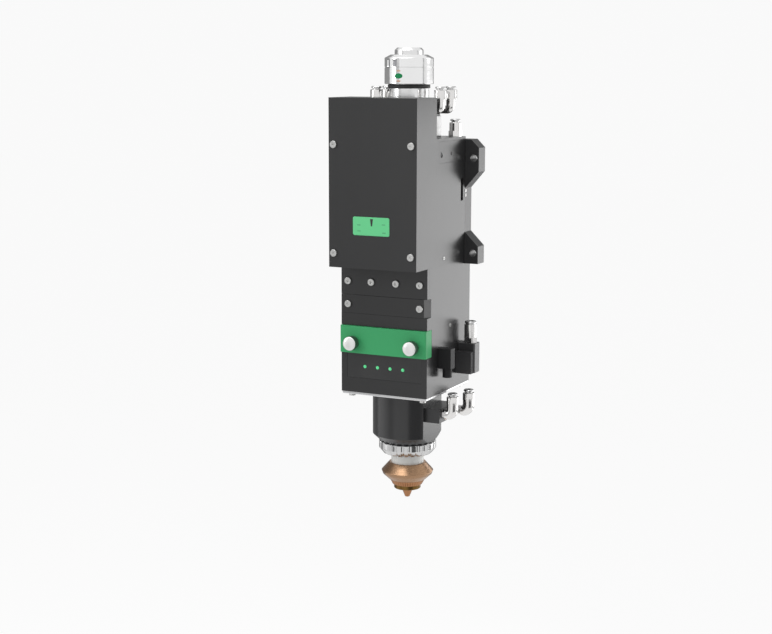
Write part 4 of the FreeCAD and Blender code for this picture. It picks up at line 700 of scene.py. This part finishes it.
collar()
patch_on_collar("collar_dot", 116.0, 7.6, 4.6, GREEN_DOT)
patch_on_collar("collar_tick_high", 120.4, 4.2, 1.3, ORANGE_MARK)
patch_on_collar("collar_tick_low", 111.6, 4.2, 1.3, ORANGE_MARK)
knob("knob_left", "left_knob", "thumbscrew_left", -29.3)
knob("knob_right", "right_knob", "thumbscrew_right", 29.3)
grip_ring()
nozzle()
fittings()
lamps()
scale_marks()
side_marks()


# ---- stage ----

def white_rays(tree, colour_for_light, strength_for_light, strength_seen):
    """A shader that shows white to camera, gloss and glass rays, and another light to the rest."""
    path = tree.nodes.new("ShaderNodeLightPath")
    seen = math_node(tree, "MAXIMUM", path.outputs["Is Camera Ray"], path.outputs["Is Glossy Ray"])
    seen = math_node(tree, "MAXIMUM", seen, path.outputs["Is Transmission Ray"])
    light = tree.nodes.new("ShaderNodeBackground")
    light.inputs["Color"].default_value = (*colour_for_light, 1)
    light.inputs["Strength"].default_value = strength_for_light
    white = tree.nodes.new("ShaderNodeBackground")
    white.inputs["Color"].default_value = (1, 1, 1, 1)
    white.inputs["Strength"].default_value = strength_seen
    both = tree.nodes.new("ShaderNodeMixShader")
    tree.links.new(seen, both.inputs[0])
    tree.links.new(light.outputs[0], both.inputs[1])
    tree.links.new(white.outputs[0], both.inputs[2])
    return both.outputs[0]


world = bpy.data.worlds.new("studio")
scene.world = world
world.use_nodes = True
world.node_tree.nodes.clear()
sky = world.node_tree.nodes.new("ShaderNodeOutputWorld")
world.node_tree.links.new(white_rays(world.node_tree, (1, 1, 1), 0.55, 0.95), sky.inputs["Surface"])


def floor():
    """A pale floor far enough below that the head's shadow stays soft."""
    span = np.linspace(-12000, 12000, 3)
    x, y = np.meshgrid(span, span)
    mesh = grid("floor", np.stack([x, y, np.full_like(x, -900.0)], axis=-1))
    plate = bpy.data.objects.new("floor", mesh)
    scene.collection.objects.link(plate)
    made = bpy.data.materials.new("pale_floor")
    made.use_nodes = True
    tree = made.node_tree
    shader = tree.nodes["Principled BSDF"]
    shader.inputs["Base Color"].default_value = (0.9, 0.9, 0.9, 1)
    shader.inputs["Roughness"].default_value = 0.8
    shader.inputs["Specular IOR Level"].default_value = 0.0
    path = tree.nodes.new("ShaderNodeLightPath")
    seen = math_node(tree, "MAXIMUM", path.outputs["Is Camera Ray"], path.outputs["Is Glossy Ray"])
    glow = tree.nodes.new("ShaderNodeEmission")
    both = tree.nodes.new("ShaderNodeMixShader")
    tree.links.new(math_node(tree, "MULTIPLY", seen, 0.9), both.inputs[0])
    tree.links.new(shader.outputs[0], both.inputs[1])
    tree.links.new(glow.outputs[0], both.inputs[2])
    tree.links.new(both.outputs[0], tree.nodes["Material Output"].inputs["Surface"])
    mesh.materials.append(made)


floor()


def softbox(name, place, aim, width, height, power):
    """A rectangular lamp at a place, turned to face a point; both in millimetres."""
    lamp = bpy.data.lights.new(name, "AREA")
    lamp.shape = "RECTANGLE"
    lamp.size = width * MM
    lamp.size_y = height * MM
    lamp.energy = power
    thing = bpy.data.objects.new(name, lamp)
    scene.collection.objects.link(thing)
    start = np.array(place, dtype=float) * MM
    line = np.array(aim, dtype=float) * MM - start
    line /= np.linalg.norm(line)
    thing.location = start
    flat = math.hypot(line[0], line[1])
    thing.rotation_euler = (math.atan2(flat, -line[2]), 0, math.atan2(line[1], line[0]) - math.pi / 2)


def tone_card(name, place, aim, width, height, tone):
    """A flat card seen only in reflections, so bright metal gets darker and lighter bars."""
    start = np.array(place, dtype=float)
    line = np.array(aim, dtype=float) - start
    line /= np.linalg.norm(line)
    side_way = np.cross(line, (0, 0, 1.0))
    side_way /= np.linalg.norm(side_way)
    up_way = np.cross(side_way, line)
    u = np.array([-0.5, 0.5])[None, :, None] * side_way * width
    v = np.array([-0.5, 0.5])[:, None, None] * up_way * height
    mesh = grid(name, start + u + v)
    card = bpy.data.objects.new(name, mesh)
    scene.collection.objects.link(card)
    card.visible_camera = False
    card.visible_diffuse = False
    card.visible_shadow = False
    card.visible_transmission = False
    made = bpy.data.materials.new(name)
    made.use_nodes = True
    tree = made.node_tree
    glow = tree.nodes.new("ShaderNodeEmission")
    glow.inputs["Strength"].default_value = tone
    tree.links.new(glow.outputs[0], tree.nodes["Material Output"].inputs["Surface"])
    mesh.materials.append(made)


softbox("back_right", (560, 900, -170), (42, -60, -50), 1500, 1300, 10.5)
softbox("overhead", (-200, -500, 1500), (0, -60, 0), 1200, 1200, 14)
softbox("front_left", (-1400, -1500, 500), (0, -60, -60), 900, 1200, 12)
for name, azimuth, distance, height, width, tall, tone in (
        ("front_left_card", -122, 1190, -120, 420, 1500, 0.55),
        ("low_right_card", -38, 1100, -555, 950, 450, 0.10),
        ("low_left_card", -166, 880, -375, 640, 160, 1.3),
        ("thin_card", 6, 1100, -60, 100, 1500, 0.30),
        ("high_right_card", 68, 940, 315, 520, 330, 0.35),
        ("mid_right_card", 48, 940, 115, 1240, 70, 0.80),
        ("ring_right_card", 50, 940, -555, 900, 190, 0.26),
        ("back_card", 97, 900, -60, 480, 1500, 0.30),
        ("back_left_card", 140, 900, -60, 760, 1500, 0.30),
        ("left_card", 178, 900, -60, 500, 1500, 0.30)):
    turn = math.radians(azimuth)
    tone_card(name, (distance * math.cos(turn), AXIS + distance * math.sin(turn), height),
              (0, AXIS, height), width, tall, tone)

# the camera was solved from the photo: place in metres, lens in millimetres, turns in degrees
eye = bpy.data.cameras.new("camera")
eye.sensor_width = 36
eye.lens = 70.73
eye.clip_end = 50
camera = bpy.data.objects.new("camera", eye)
scene.collection.objects.link(camera)
camera.location = (0.5830, -1.2752, 0.1256)
camera.rotation_euler = (math.radians(90 - 9.4412), math.radians(-0.1035), math.radians(26.2229))
scene.camera = camera
scene.view_settings.view_transform = "Standard"
